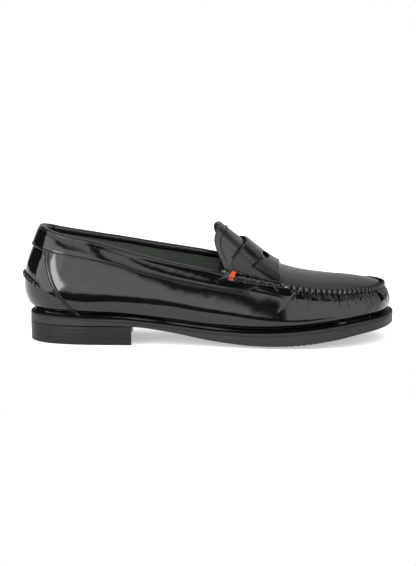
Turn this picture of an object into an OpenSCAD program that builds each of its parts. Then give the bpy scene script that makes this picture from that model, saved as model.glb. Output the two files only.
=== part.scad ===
// Penny loafer, right shoe, moccasin toe with a slotted saddle strap.
// +X runs from heel to toe, +Y to the inner (medial) side, +Z up.
// The origin is on the ground under the middle of the shoe's box.

/* [Size] */
// Length of the sole from the back of the heel to the tip of the toe
sole_length = 297; // [280:1:315]
// Width of the shoe against its standard fitting
fitting = 1; // [0.95:0.01:1.05]

/* [Sole] */
// Thickness of the welt strip between upper and outsole
welt_t = 3.2; // [2.6:0.1:3.8]
// Width of the welt strip, from the sole's edge inwards
welt_w = 14; // [12:0.5:15]
// Thickness of the insole board
insole_t = 2.6; // [2:0.1:3]
// Height of the heel block under the outsole
heel_h = 15; // [13:0.5:15]
// Number of leather lifts in the heel block
lifts = 3; // [2:1:3]
// Thickness of the rubber top piece that the heel stands on
top_piece_t = 6; // [5:0.5:7]
// Length of the heel block along the sole
heel_len = 83; // [76:1:86]

/* [Upper] */
// Thickness of the outer leather
leather_t = 1.6; // [1.2:0.1:1.8]
// Thickness of the stiffeners and of the interlining
stiffener_t = 0.9; // [0.7:0.1:1]
// Thickness of the lining
lining_t = 1.0; // [0.8:0.1:1.2]
// Height of the turned-up edges along the apron seam
lip_h = 2.4; // [1.5:0.1:3]
// Height of the beef roll at the ends of the strap
roll_h = 9; // [7:0.5:10]
// Pitch of the machine stitches
stitch_pitch = 3; // [2.5:0.5:5]
// Pitch of the hand stitches over the apron seam
hand_pitch = 5.5; // [5:0.5:9]

/* [Hidden] */

gap = 0.3;             // clearance between layers whose facets don't line up
touch = 0.05;          // clearance between layers that share one grid
k = sole_length / 297; // all tables below are drawn for a 297 mm sole

// One row per station from the heel (0) along the side to the toe (12):
// distance from the heel, half widths of the sole on the lateral and medial side, how far the
// medial wall swells over the arch, then how far the wall stands out from the sole's edge at the
// five LEVELS of its height.
STATIONS = [
    [0, 0, 0, 0, -1.3, 4.5, 4, -2.2, -8],
    [5, 14.6, 14.6, 0, -1.4, 4.3, 4, -1.8, -7.5],
    [18, 25.4, 25.4, 0, -1.8, 3, 3.4, -0.6, -6.4],
    [42, 31.6, 31.4, 0, -2.2, 0.8, 1.2, -1.2, -6.4],
    [75, 33.2, 31.4, 1.5, -3, 2, 3, 0.8, -5],
    [112, 35.6, 30.6, 4, -3.4, 2.6, 4.2, 2.1, -5],
    [150, 41.6, 36.4, 3, -4, 1, 2.2, -0.6, -8],
    [185, 49, 46, 1, -4.6, -1.6, -1.3, -4.3, -11],
    [217, 53, 53, 0, -4.8, -2.8, -2.8, -5.4, -12],
    [246, 50,   51,   0, -4.8, -2.8, -2.6, -5.2, -12],
    [271, 40,   43.5, 0, -4.6, -2.8, -2.5, -5,   -11],
    [289, 24,   29,   0, -4.4, -2.8, -2.5, -4.4, -9],
    [297, -3,   3,    0, -4.4, -2.8, -2.4, -4,   -7]
];
LEVELS = [0, 0.22, 0.5, 0.78, 1];
TOE = 12;
RING = 24;

// Heights along the shoe, as [distance from the heel, height].
SEAT_Z = [[0, 25], [42, 23.6], [75, 21.8], [112, 17.8], [150, 13.9], [185, 13], [217, 15],
          [246, 18.2], [271, 21.3], [297, 23.4]];
EDGE_Z = [[0, heel_h], [84, heel_h], [112, 11.6], [150, 5], [185, 2.2], [217, 3.4], [246, 6.8],
          [271, 11], [297, 14.2]];
CROWN = [[0, 0], [84, 0], [112, 0.6], [150, 2], [180, 2.6], [210, 3.4], [246, 3], [297, 1]];
TOP_Z = [[9, 93], [24, 88.6], [57, 82.2], [98, 71], [139, 62.2], [160, 58.3], [181, 54.8],
         [202, 50.2], [220, 46.4], [245, 43.6], [270, 42.8], [290, 44]];
MEDIAL_RISE = [[9, 0.2], [24, -0.2], [57, -0.2], [89, 3.2], [122, 5.3], [150, 5.9], [180, 4.2],
               [208, 0.9], [245, 0], [290, 0]];
APRON_Z = [[146, 103], [154, 97.4], [164, 89.2], [174, 81.2], [188, 70], [200, 62.6], [208, 59.6],
           [221, 56.6], [241, 54], [260, 52.4], [273, 50.4], [284, 47.4], [290, 44.4]];

// Places along the stations, counted from the heel.
counter_low = 2.82;   // counter seam at the sole
counter_top = 1.7;    // counter seam at the collar
collar_end = 6.95;    // tip of the collar band
roll_from = 6.12;     // rear end of the beef roll
roll_to = 7.54;       // front end of the beef roll
seam_from = 7.62;     // where the apron seam's turned-up edges begin
lining_joint = 6;     // joint between quarter lining and vamp lining

// Heights up the wall, as a share of it.
collar_v = 0.775;     // lower edge of the collar band at the heel
collar_drop = 0.065;  // how much lower it is at the strap
tuck_v = 0.83;        // top of the vamp and counter cover, tucked under the collar band
roll_v = 0.9;         // lower edge of the beef roll

// ---------------------------------------------------------------- curves

function spline(a, b, c, d, f) =
    (2 * b + (c - a) * f + (2 * a - 5 * b + 4 * c - d) * f * f
     + (3 * b - a - 3 * c + d) * f * f * f) / 2;

// Smooth curve through a table of [x, y], flat outside its ends.
function slope(tab, i) =
    let (a = max(i - 1, 0), b = min(i + 1, len(tab) - 1))
    (tab[b][1] - tab[a][1]) / (tab[b][0] - tab[a][0]);
function segment(tab, x, i = 0) =
    i >= len(tab) - 2 || x < tab[i + 1][0] ? i : segment(tab, x, i + 1);
function curve(tab, x) =
    x <= tab[0][0] ? tab[0][1] :
    x >= tab[len(tab) - 1][0] ? tab[len(tab) - 1][1] :
    let (i = segment(tab, x), w = tab[i + 1][0] - tab[i][0], f = (x - tab[i][0]) / w,
         f2 = f * f, f3 = f2 * f)
    (2 * f3 - 3 * f2 + 1) * tab[i][1] + (f3 - 2 * f2 + f) * w * slope(tab, i)
    + (3 * f2 - 2 * f3) * tab[i + 1][1] + (f3 - f2) * w * slope(tab, i + 1);
function ease(x) = let (f = min(max(x, 0), 1)) f * f * (3 - 2 * f);
function steps(a, b, n) = [for (i = [0:n]) a + (b - a) * i / n];

// ---------------------------------------------------------------- last

// A station anywhere round the ring: [x, y, five wall offsets].
function station(i) =
    let (j = (i % RING + RING) % RING, lateral = j <= TOE, s = STATIONS[lateral ? j : RING - j],
         y = lateral ? -s[1] : s[2], arch = lateral ? 0 : s[3])
    [s[0], y * fitting, s[4], s[5] + arch, s[6] + arch, s[7] + arch, s[8] + arch];
function ring_at(t) =
    let (i = floor(t))
    spline(station(i - 1), station(i), station(i + 1), station(i + 2), t - i);
function heading(t) = let (d = ring_at(t + 0.02) - ring_at(t - 0.02)) [d[0], d[1]] / norm([d[0], d[1]]);
function outward(t) = let (h = heading(t)) [h[1], -h[0]];

// A point at the sole's edge moved outwards by n, at height z.
function at_edge(t, n, z) =
    let (q = ring_at(t), o = outward(t)) k * [q[0] + n * o[0], q[1] + n * o[1], z];
function is_medial(t) = let (j = (t % RING + RING) % RING) j > TOE;
function seat_z(t) = curve(SEAT_Z, ring_at(t)[0]);
function rim_z(t) =
    let (q = ring_at(t), x = q[0] + q[6] * outward(t)[0])
    curve(TOP_Z, x) + (is_medial(t) ? curve(MEDIAL_RISE, x) : 0);

// The wall's section at t: [offset, height] at share v of its height, then moved out by d.
function section(t) =
    let (q = ring_at(t), zf = seat_z(t), zt = rim_z(t))
    [[for (i = [0:4]) [LEVELS[i], q[2 + i]]], zf, zt];
function on_section(s, v) = [curve(s[0], v), s[1] + v * (s[2] - s[1])];
function wall_in(s, v, d) =
    let (a = on_section(s, max(v - 0.02, 0)), b = on_section(s, min(v + 0.02, 1)),
         g = (b - a) / norm(b - a), p = on_section(s, v))
    [p[0] + d * g[1], p[1] - d * g[0]];
function wall(t, v, d) = let (p = wall_in(section(t), v, d)) at_edge(t, p[0], p[1]);
// Above the rim: dn inwards from it and dz over it.
function over_rim(t, dn, dz) =
    let (q = ring_at(t)) at_edge(t, q[6] - dn, rim_z(t) + dz);

// The apron between the two seams: i stations back from the toe, w from -1 lateral to 1 medial.
seam_inset = 2 * leather_t + 0.3;   // the apron's own edge, inside both turned-up edges
function apron_base(i, w) =
    let (a = over_rim(TOE - i, seam_inset, 0) / k, b = over_rim(TOE + i, seam_inset, 0) / k,
         m = (a + b) / 2, h = curve(APRON_Z, m[0]) - m[2], p = 1 - 0.42 * ease((i - 3) / 2.2))
    k * (a + (b - a) * (w + 1) / 2 + [0, 0, max(h, 0.2) * pow(max(1 - w * w, 0), p)]);
function apron(i, w, d) =
    let (e = 0.02, di = apron_base(i + e, w) - apron_base(i - e, w),
         wa = max(w - e, -1), wb = min(w + e, 1), dw = apron_base(i, wb) - apron_base(i, wa),
         n = cross(dw, di))
    apron_base(i, w) + d * n / norm(n);

// ---------------------------------------------------------------- solids

// A sheet between two grids of points. Rows cross columns, and their cross product points to the
// outer grid. keep(r, c) says which cells are there, so a sheet can have a slot.
module sheet(outer, inner, closed = false, keep = function (r, c) true) {
    rows = len(outer);
    cols = len(outer[0]);
    last = closed ? rows : rows - 1;
    function cell(r, c) =
        (closed || (r >= 0 && r < last)) && c >= 0 && c < cols - 1 && keep((r + rows) % rows, c);
    function id(r, c) = (r % rows) * cols + c;
    half = rows * cols;
    faces = [for (r = [0:last - 1], c = [0:cols - 2]) if (cell(r, c))
        let (ring = [id(r, c), id(r, c + 1), id(r + 1, c + 1), id(r + 1, c)],
             near = [cell(r - 1, c), cell(r, c + 1), cell(r + 1, c), cell(r, c - 1)])
        each concat(
            [[ring[0], ring[1], ring[2]], [ring[0], ring[2], ring[3]],
             [ring[2] + half, ring[1] + half, ring[0] + half],
             [ring[3] + half, ring[2] + half, ring[0] + half]],
            [for (e = [0:3]) if (!near[e])
                let (a = ring[e], b = ring[(e + 1) % 4])
                each [[b, a, a + half], [b, a + half, b + half]]])];
    polyhedron(points = concat([for (row = outer) each row], [for (row = inner) each row]),
               faces = faces, convexity = 10);
}

// A tube through rings of points, each ring clockwise seen along the path.
module loft(rings) {
    n = len(rings[0]);
    m = len(rings);
    sides = [for (r = [0:m - 2], i = [0:n - 1])
        let (j = (i + 1) % n, a = r * n + i, b = r * n + j)
        each [[a, b, b + n], [a, b + n, a + n]]];
    ends = [for (i = [1:n - 2]) each [[0, i + 1, i], [(m - 1) * n, (m - 1) * n + i, (m - 1) * n + i + 1]]];
    polyhedron(points = [for (r = rings) each r], faces = concat(sides, ends), convexity = 10);
}

// A plate across the sole, from the stations' edges moved in by inset.
// top and bottom give its heights for a station i and a share w of the half width.
module plate(inset, i_from, i_to, n, m, top, bottom) {
    function spot(i, w, z) =
        let (a = at_edge(i, -inset, 0), b = at_edge(RING - i, -inset, 0), p = a + (b - a) * (w + 1) / 2)
        [p[0], p[1], k * z];
    across = steps(-1, 1, m);
    along = steps(i_from, i_to, n);
    sheet([for (i = along) [for (w = across) spot(i, w, top(i, w))]],
          [for (i = along) [for (w = across) spot(i, w, bottom(i, w))]]);
}

// A length of thread between two points.
module thread(a, b, r) {
    d = b - a;
    translate(a)
        rotate([0, acos(d[2] / norm(d)), atan2(d[1], d[0])])
            cylinder(r = r, h = norm(d), $fn = 16);
}

// The centre of the shoe's box goes to the origin.
kicker_t = 1.1;    // how far the pinched roll at the heel stands out
kicker_reach = 4.7 + kicker_t + 0.5;   // how far the heel kicker stands out behind the sole
module place() translate([-(297 - kicker_reach) / 2 * k, 0, 0]) children();
module finish(shade) color(shade) place() children();

// ---------------------------------------------------------------- sole

function edge_z(i) = curve(EDGE_Z, ring_at(i)[0]);
// The sole's underside bulges down to the ground at the ball.
function bottom_z(i, w) = edge_z(i) - min(curve(CROWN, ring_at(i)[0]), edge_z(i)) * (1 - w * w);
end_gap = 0.06;

module outsole() finish("#2b2a29")
    plate(0, end_gap, TOE - end_gap, 48, 8,
          function (i, w) seat_z(i) - welt_t - touch,
          function (i, w) bottom_z(i, w));

module welt() finish("#1c1b1a")
    sheet([for (t = steps(0, RING - 0.25, 95)) [at_edge(t, 0, seat_z(t)), at_edge(t, -welt_w, seat_z(t))]],
          [for (t = steps(0, RING - 0.25, 95))
              [at_edge(t, 0, seat_z(t) - welt_t), at_edge(t, -welt_w, seat_z(t) - welt_t)]],
          closed = true);

margin_z = leather_t + gap;   // height of the upper's lasting margin over the welt
feather_in = 7.6;             // the insole's edge lies inside the lining

module insole() finish("#a98d66")
    plate(feather_in + 1, 0.3, TOE - 0.3, 24, 6,
          function (i, w) seat_z(i) + margin_z + insole_t,
          function (i, w) seat_z(i) + margin_z);

module cork_filler() finish("#8d6b45")
    plate(welt_w + 2, 6.2, TOE - 0.6, 14, 4,
          function (i, w) seat_z(i) + margin_z - touch,
          function (i, w) seat_z(i) - welt_t);

module heel_seat_filler() finish("#6f5a41")
    plate(welt_w + 2, 0.6, 3.2, 8, 4,
          function (i, w) seat_z(i) + margin_z - touch,
          function (i, w) seat_z(i) - welt_t);

module shank() {
    shank_w = 14;
    shank_t = 1.2;
    along = steps(3.4, 6, 12);
    function spot(i, y, z) = [ring_at(i)[0] * k, y * k, z * k];
    finish("#8b8f94") sheet([for (i = along) [for (y = [-0.5, 0.5]) spot(i, y * shank_w, seat_z(i) - welt_t + shank_t)]],
          [for (i = along) [for (y = [-0.5, 0.5]) spot(i, y * shank_w, seat_z(i) - welt_t + touch)]]);
}

// ---------------------------------------------------------------- heel

breast_hollow = 3;   // how far the heel's front face is hollowed
nail_r = 1;
NAILS = [[16, 0], [26, -17], [26, 17], [52, -22], [52, 22], [72, -20], [72, 20], [72, 0]];

function heel_outline(inset) =
    let (back = [for (t = steps(-4.3, 4.3, 44)) let (p = at_edge(t, -inset, 0)) if (p[0] < heel_len * k) [p[0], p[1]]],
         half = abs(back[0][1]) - 0.5)
    concat(back, [for (f = steps(-1, 1, 8)) [(heel_len - breast_hollow * (1 - f * f)) * k, f * half]]);

lift_t = (heel_h - top_piece_t) / lifts;
module heel_slab(z, t, inset, holes) place()
    difference() {
        translate([0, 0, z * k]) linear_extrude(height = t * k) polygon(heel_outline(inset));
        if (holes)
            for (p = NAILS) translate([p[0] * k, p[1] * k, (z - 1) * k]) cylinder(r = nail_r * k, h = (t + 2) * k, $fn = 24);
    }
module heel_lift(i) color("#242322") {
    if (i < lifts)
        heel_slab(top_piece_t + lift_t * (lifts - 1 - i), lift_t - touch, 0.2 + 0.3 * i, true);
}
module heel_top_piece() color("#1b1b1b") heel_slab(0, top_piece_t - touch, 1, false);
module heel_nails() finish("#b3a36a")
    for (p = NAILS) translate([p[0] * k, p[1] * k, (top_piece_t + touch) * k])
        cylinder(r = (nail_r - touch) * k, h = (heel_h - top_piece_t - 2 * touch) * k, $fn = 24);

// ---------------------------------------------------------------- footbed

module heel_pad() finish("#cdbfa4")
    plate(feather_in + 4, 0.4, 3.6, 10, 4,
          function (i, w) seat_z(i) + margin_z + insole_t + 2.4,
          function (i, w) seat_z(i) + margin_z + insole_t + gap);

module sock_lining() finish("#2e2a26")
    plate(feather_in + 1.2, 0.34, TOE - 0.6, 28, 6,
          function (i, w) seat_z(i) + margin_z + insole_t + sock_rise(i) + 1.1,
          function (i, w) seat_z(i) + margin_z + insole_t + sock_rise(i));
function sock_rise(i) = gap + 2.6 * (1 - ease((i - 3.7) / 1.5));

// ---------------------------------------------------------------- upper

function counter_t(v) = counter_top + (counter_low - counter_top) * pow(1 - min(v, 1), 2.2);
function fold(t) = abs((t + TOE + 4 * RING) % RING - TOE);   // stations from the heel, either side
function collar_low(t) = collar_v - collar_drop * pow(fold(t) / 7, 2.4);
function vamp_top(t) =
    let (f = fold(t))
    f < 6.6 ? tuck_v :
    f < 7 ? tuck_v + (roll_v - tuck_v) * ease((f - 6.6) / 0.4) :
    f < 7.5 ? roll_v : roll_v + (1 - roll_v) * ease((f - 7.5) / 0.12);

// Lasting margin under the insole, then the wall, then the turned-up edge at the apron seam.
margin_w = 9;
module vamp() {
    shares = [0, 0.1, 0.24, 0.4, 0.56, 0.72, 0.86, 1];
    function row(s, d) =
        let (t = function (v) let (a = counter_t(v) + 0.02) a + (RING - 2 * a) * s,
             q = ring_at(t(0)), top = vamp_top(t(0.9)),
             lip = 0.2 + lip_h * ease((fold(t(1)) - seam_from) / 0.12))
        concat([for (m = [margin_w, 1.6]) at_edge(t(0), q[2] - m, seat_z(t(0)) + touch - d)],
               [for (v = shares) let (u = max(v * top, 0.06)) wall(t(u), u, d)],
               [top < 0.999 ? wall(t(top), top, d) + [0, 0, 0.2 * k] : over_rim(t(top), -d, lip)]);
    along = steps(0, 1, 84);
    finish("#17181a") sheet([for (s = along) row(s, 0)], [for (s = along) row(s, -leather_t)]);
}

module counter_cover() {
    overlay = 1.2;
    shares = [0.06, 0.2, 0.36, 0.52, 0.68, 0.84, 1];
    along = concat([-1, -0.965, -0.925], steps(-0.88, 0.88, 20), [0.925, 0.965, 1]);
    function lifted(s) = abs(s) > 0.9;
    function top(s) = abs(s) > 0.75 ? collar_v - 0.022 : tuck_v;
    function row(s, d, m) =
        let (t = counter_low * 0.99 * s, q = ring_at(t))
        concat([for (e = [margin_w, 1.6]) at_edge(t, q[2] - e, seat_z(t) + touch - m)],
               [for (v = shares) wall((counter_t(v * top(s)) + 0.14) * s, v * top(s), d)]);
    finish("#17181a")
        sheet([for (s = along) row(s, lifted(s) ? overlay : 0, 0)],
              [for (s = along) row(s, lifted(s) ? touch * 2 : -leather_t, -leather_t)]);
}

module collar_band() {
    overlay = 1.3;
    along = steps(-collar_end, collar_end, 70);
    function low(t) = collar_low(t) + 0.17 * ease((fold(t) - 6.6) / 0.36);
    function high(t) = 0.985 - 0.095 * ease((fold(t) - 5.95) / 0.15);
    function levels(t) =
        let (a = low(t), b = high(t), e = min(tuck_v + 0.012, b - 0.004))
        [a, min(e - 0.012, b - 0.008), e, (e + b) / 2, b];
    function over_vamp(t, c) = fold(t) > 6.5 || c < 2;
    function outer(t, c) = c < 4 || fold(t) > 6.1 ? overlay : 0.6;
    function inner(t, c) = over_vamp(t, c) ? gap : -leather_t;
    finish("#17181a")
        sheet([for (t = along) let (l = levels(t)) [for (c = [0:4]) wall(t, l[c], outer(t, c))]],
              [for (t = along) let (l = levels(t)) [for (c = [0:4]) wall(t, l[c], inner(t, c))]]);
}

// A narrow leather strip folded over the top edge, short outside and longer inside.
module topline_binding() {
    depth = leather_t + stiffener_t + lining_t + 0.9;
    function ring(t) =
        let (s = section(t), a = wall_in(s, 0.995, 0.6), b = wall_in(s, 0.995, -depth), c = wall_in(s, 0.93, -depth))
        [for (p = [[a[0], a[1]], [a[0] - 0.2, a[1] + 1], [(a[0] + b[0]) / 2, a[1] + 1.5], [b[0] - 0.8, b[1] + 1],
                   [c[0] - 0.9, c[1]], [c[0], c[1]], [b[0], b[1]]])
            at_edge(t, p[0], p[1])];
    finish("#101112") loft([for (t = steps(-6.05, 6.05, 60)) ring(t)]);
}

// ---------------------------------------------------------------- apron and strap

function tongue_i(w) = 5.9 + 0.17 * sin(180 * pow(abs(w), 2.4)) - 0.1 * pow(w, 4);
function at_share(w, s, front, rear) = front + (rear - front) * pow(s, 1.3);
// The apron's edge stands up along the seam. Past the seam it lies along the tongue's flank. Each
// row is [inwards, up] from the rim, for the edge's outer and inner side and the bend's inner side.
EDGE_PAST_SEAM = [[3.25, -0.4], [4.6, -1.2], [4.9, -0.8]];
EDGE_TURNING = [[2.9, 0.2], [2.7, -1.5], [3.4, -leather_t]];
EDGE_UPRIGHT = [[2 * leather_t + 0.2, lip_h + 0.2], [leather_t + 0.2, lip_h + 0.2], [leather_t + 0.2, -leather_t]];
function edge_at(i, side) =
    let (g = 2 * ease((TOE - seam_from - i) / 0.4 + 1), a = g < 1 ? EDGE_PAST_SEAM : EDGE_TURNING,
         b = g < 1 ? EDGE_TURNING : EDGE_UPRIGHT)
    a[side] + (b[side] - a[side]) * (g < 1 ? g : g - 1);
module apron_piece() {
    along = steps(0, 1, 34);
    across = steps(-1, 1, 14);
    function stop(w, s) = at_share(w, s, 0.3, tongue_i(w));
    function edge(w, side) =
        [for (s = along) let (i = stop(w, s), p = edge_at(i, side)) over_rim(TOE + w * i, p[0], p[1])];
    function top(w) = [for (s = along) apron(stop(w, s), w, 0)];
    function under(w) = abs(w) == 1 ? edge(w, 2) : [for (s = along) apron(stop(w, s), w, -leather_t)];
    finish("#1b1c1d")
        sheet(concat([edge(-1, 0)], [for (w = across) top(w)], [edge(1, 0)]),
              concat([edge(-1, 1)], [for (w = across) under(w)], [edge(1, 1)]));
}
module apron_lining() {
    along = steps(0, 1, 24);
    across = steps(-0.9, 0.9, 10);
    function line(w, d) = [for (s = along) apron(at_share(w, s, 0.6, tongue_i(w) - 0.05), w, d)];
    finish("#20201f")
        sheet([for (w = across) line(w, -leather_t - gap)], [for (w = across) line(w, -leather_t - lining_t - gap)]);
}

strap_t = 1.6;
module saddle_strap() {
    function rear(w) = 5.37 + 0.36 * w * w;
    function front(w) = 4.54 - 0.05 * w * w;
    function slot_i(w) = 4.9 + 0.42 * w * w;
    function slot_g(w) = 0.012 + 0.075 * pow(max(1 - pow(w / 0.36, 2), 0), 0.8);
    function lines(w) =
        let (a = rear(w), b = slot_i(w) + slot_g(w), c = slot_i(w) - slot_g(w), e = front(w))
        [a, (2 * a + b) / 3, (a + 2 * b) / 3, b, c, (2 * c + e) / 3, (c + 2 * e) / 3, e];
    function lift(w, j) = gap + 1.2 * max(1 - w * w * 1.2, 0) * (j < 3 ? 1 : 0.6);
    across = concat([-0.97, -0.92], steps(-0.86, 0.86, 20), [0.92, 0.97]);
    function grid(d) = [for (w = across) let (l = lines(w)) [for (j = [7:-1:0]) apron(l[j], w, d + lift(w, j))]];
    finish("#1b1c1d") sheet(grid(strap_t), grid(0), keep = function (r, c) !(c == 3 && r > 1 && r < 22));
}

// The leather rolled round the seam at each end of the strap. f runs from its rear to its front
// end, p points away from the shoe and q up along the roll's flat side.
roll_w = 2.6;
roll_lean = 32;
function roll_point(side, f, p, q) =
    let (t = roll_from + (roll_to - roll_from) * f, a = side < 0 ? t : RING - t, o = outward(a),
         n = p * cos(roll_lean) - q * sin(roll_lean), z = p * sin(roll_lean) + q * cos(roll_lean))
    over_rim(a, -1, 0.4) + k * [n * o[0], n * o[1], z];
roll_marks = [0.16, 0.34, 0.5, 0.66, 0.82];
function roll_fat(f) =
    f < roll_marks[0] ? 1.12 - 0.3 * f / roll_marks[0] :
    f > roll_marks[4] ? 0.82 + 0.1 * (f - roll_marks[4]) / (1 - roll_marks[4]) :
    0.82 + 0.14 * abs(sin(180 * (f - roll_marks[0]) / 0.165));
module beef_roll(side)
    finish("#202123")
        loft([for (f = steps(0, 1, 24))
            [for (g = [0:7]) let (u = -side * 45 * g, fat = roll_fat(f))
                roll_point(side, f, roll_w * fat * cos(u), roll_h / 2 * fat * sin(u))]]);

// ---------------------------------------------------------------- heel kicker

kicker_half = 1.55;
function kicker_v(t) = 0.43 - 0.1 * pow(t / kicker_half, 2);
module heel_kicker() {
    function ring(t) =
        let (s = section(t), fat = 0.5 + 0.5 * sqrt(max(1 - pow(t / kicker_half, 4), 0)), r = kicker_t / 2 * fat,
             c = wall_in(s, kicker_v(t), touch * 2 + r))
        [for (g = [0:7]) at_edge(t, c[0] + r * cos(45 * g), c[1] + 2.6 * fat * sin(45 * g))];
    finish("#202123") loft([for (t = steps(-kicker_half, kicker_half, 20)) ring(t)]);
}

// ---------------------------------------------------------------- stiffeners and linings

module wall_sheet(t_from, t_to, n, v_from, v_to, m, d_out, d_in)
    sheet([for (t = steps(t_from, t_to, n)) [for (v = steps(v_from, v_to(t), m)) wall(t, v, d_out)]],
          [for (t = steps(t_from, t_to, n)) [for (v = steps(v_from, v_to(t), m)) wall(t, v, d_in)]]);

stiff_out = -leather_t - gap;
stiff_in = stiff_out - stiffener_t;
lining_out = stiff_in - gap;
lining_in = lining_out - lining_t;
module toe_puff() finish("#c9c2b0")
    wall_sheet(TOE - 2.4, TOE + 2.4, 20, 0.08, function (t) 0.9, 4, stiff_out, stiff_in);
module heel_counter() finish("#c9c2b0")
    wall_sheet(-2.9, 2.9, 24, 0.08, function (t) 0.82 - 0.3 * ease((abs(t) - 1.2) / 1.7), 4, stiff_out, stiff_in);
module interlining(a, b) finish("#b9b29f")
    wall_sheet(a, b, 24, 0.1, function (t) min(vamp_top(t), 0.9) - 0.03, 4, stiff_out, stiff_in);
module quarter_lining(a, b) finish("#3a4239")
    wall_sheet(a, b, 24, 0.1, function (t) 0.985, 6, lining_out, lining_in);
module vamp_lining() finish("#1f1f1e")
    wall_sheet(lining_joint + 0.04, RING - lining_joint - 0.04, 48, 0.12,
               function (t) let (f = fold(t)) 0.97 - 0.15 * ease((f - 6.1) / 0.2), 5, lining_out, lining_in);

// ---------------------------------------------------------------- threads

thread_r = 0.35;
// Stitches along a path: each one covers part of its pitch.
module stitch_row(path, r, cover) {
    for (i = [0:len(path) - 2])
        thread(path[i] + (path[i + 1] - path[i]) * (1 - cover) / 2,
               path[i] + (path[i + 1] - path[i]) * (1 + cover) / 2, r);
}
function count_of(length, pitch) = max(2, round(length / pitch));

module apron_stitches() finish("#0e0e0f") {
    n = count_of(250, hand_pitch);
    for (t = steps(seam_from + 0.25, RING - seam_from - 0.25, n))
        thread(over_rim(t, -0.5, lip_h + 0.8), over_rim(t, 2 * leather_t + 0.7, lip_h + 0.8), 0.45);
}
module roll_stitch(side, f)
    thread(roll_point(side, f, roll_w * 0.82 + 0.6, -roll_h * 0.34), roll_point(side, f, roll_w * 0.82 + 0.6, roll_h * 0.34), 0.5);
module beef_roll_stitches() finish("#0e0e0f") {
    for (i = [1:4]) roll_stitch(-1, roll_marks[i]);
    for (i = [0:4]) roll_stitch(1, roll_marks[i]);
}
module contrast_stitch() finish("#c8502a") roll_stitch(-1, roll_marks[0]);
module collar_stitches() finish("#0e0e0f") {
    n = count_of(340, stitch_pitch * 2);
    stitch_row([for (t = steps(-6.5, 6.5, n)) wall(t, collar_low(t) + 0.028, 1.3 + thread_r / 2)], thread_r, 0.6);
}
module counter_stitches() finish("#0e0e0f") {
    n = count_of(54, stitch_pitch);
    for (side = [-1, 1], in = [0.045, 0.115])
        stitch_row([for (v = steps(0.08, 0.72, n)) wall(side * (counter_t(v) + in), v, 1.2 + thread_r / 2)], thread_r, 0.6);
}
module tongue_stitches() finish("#0e0e0f") {
    n = count_of(96, stitch_pitch);
    stitch_row([for (w = steps(-0.9, 0.9, n)) apron(tongue_i(w) - 0.08, w, thread_r / 2)], thread_r, 0.6);
}
module kicker_stitches() finish("#0e0e0f")
    for (t = steps(-1.32, 1.32, 12)) {
        a = wall_in(section(t), kicker_v(t), kicker_t + 0.2);
        thread(at_edge(t, a[0], a[1] - 1.5), at_edge(t + 0.05, a[0], a[1] + 1.5), 0.3);
    }
module sole_stitches() finish("#161616") {
    n = count_of(480, 6);
    stitch_row([for (t = steps(4.6, RING - 4.6, n)) at_edge(t, -6, bottom_z(t, 0.87) + 0.05)],
               0.4, 0.6);
}

// ---------------------------------------------------------------- assembly

outsole();
welt();
insole();
cork_filler();
heel_seat_filler();
shank();
heel_lift(0);  // heel_lift_1
heel_lift(1);  // heel_lift_2
heel_lift(2);  // heel_lift_3
heel_top_piece();
heel_nails();
heel_pad();
sock_lining();
vamp();
counter_cover();
collar_band();
topline_binding();
apron_piece();  // apron
saddle_strap();
beef_roll(-1);  // beef_roll_lateral
beef_roll(1);  // beef_roll_medial
heel_kicker();
toe_puff();
heel_counter();
interlining(3.1, 9.3);  // interlining_lateral
interlining(RING - 9.3, RING - 3.1);  // interlining_medial
quarter_lining(0.03, lining_joint);  // quarter_lining_lateral
quarter_lining(RING - lining_joint, RING - 0.03);  // quarter_lining_medial
vamp_lining();
apron_lining();
apron_stitches();
beef_roll_stitches();
contrast_stitch();
collar_stitches();
counter_stitches();
tongue_stitches();
kicker_stitches();
sole_stitches();
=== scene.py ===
"""Looks of a right-foot penny loafer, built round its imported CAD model.

Lengths in the shape functions are in millimetres, measured from the back of the heel along the
shoe (x), to the inner side (y) and up from the ground (z). put() turns them into the frame.
t counts stations round the sole from the heel (0) by the outer side to the toe (12) and back by
the inner side (24). v is the share of the wall's height."""
import math

import bmesh
import bpy
import numpy as np
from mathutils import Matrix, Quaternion, Vector


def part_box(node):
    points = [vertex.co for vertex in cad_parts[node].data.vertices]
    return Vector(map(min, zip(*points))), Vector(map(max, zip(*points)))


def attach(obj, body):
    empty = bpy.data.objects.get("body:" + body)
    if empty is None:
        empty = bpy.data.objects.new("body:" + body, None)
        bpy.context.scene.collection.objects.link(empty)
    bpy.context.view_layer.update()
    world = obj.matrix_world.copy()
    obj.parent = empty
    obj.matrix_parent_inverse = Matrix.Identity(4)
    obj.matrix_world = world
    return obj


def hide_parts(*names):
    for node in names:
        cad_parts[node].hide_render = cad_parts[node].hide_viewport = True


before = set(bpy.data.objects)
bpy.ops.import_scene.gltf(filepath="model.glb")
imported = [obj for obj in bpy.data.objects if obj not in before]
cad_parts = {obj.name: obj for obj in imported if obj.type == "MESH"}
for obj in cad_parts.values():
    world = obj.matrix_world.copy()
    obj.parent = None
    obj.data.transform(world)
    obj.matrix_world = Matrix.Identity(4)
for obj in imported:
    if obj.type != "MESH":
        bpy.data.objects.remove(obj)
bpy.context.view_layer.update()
MM = 0.001
HEEL_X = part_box("welt")[0].x / MM
GROUND_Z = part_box("heel_top_piece")[0].z / MM

# ---------- the last, as in the CAD

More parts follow.
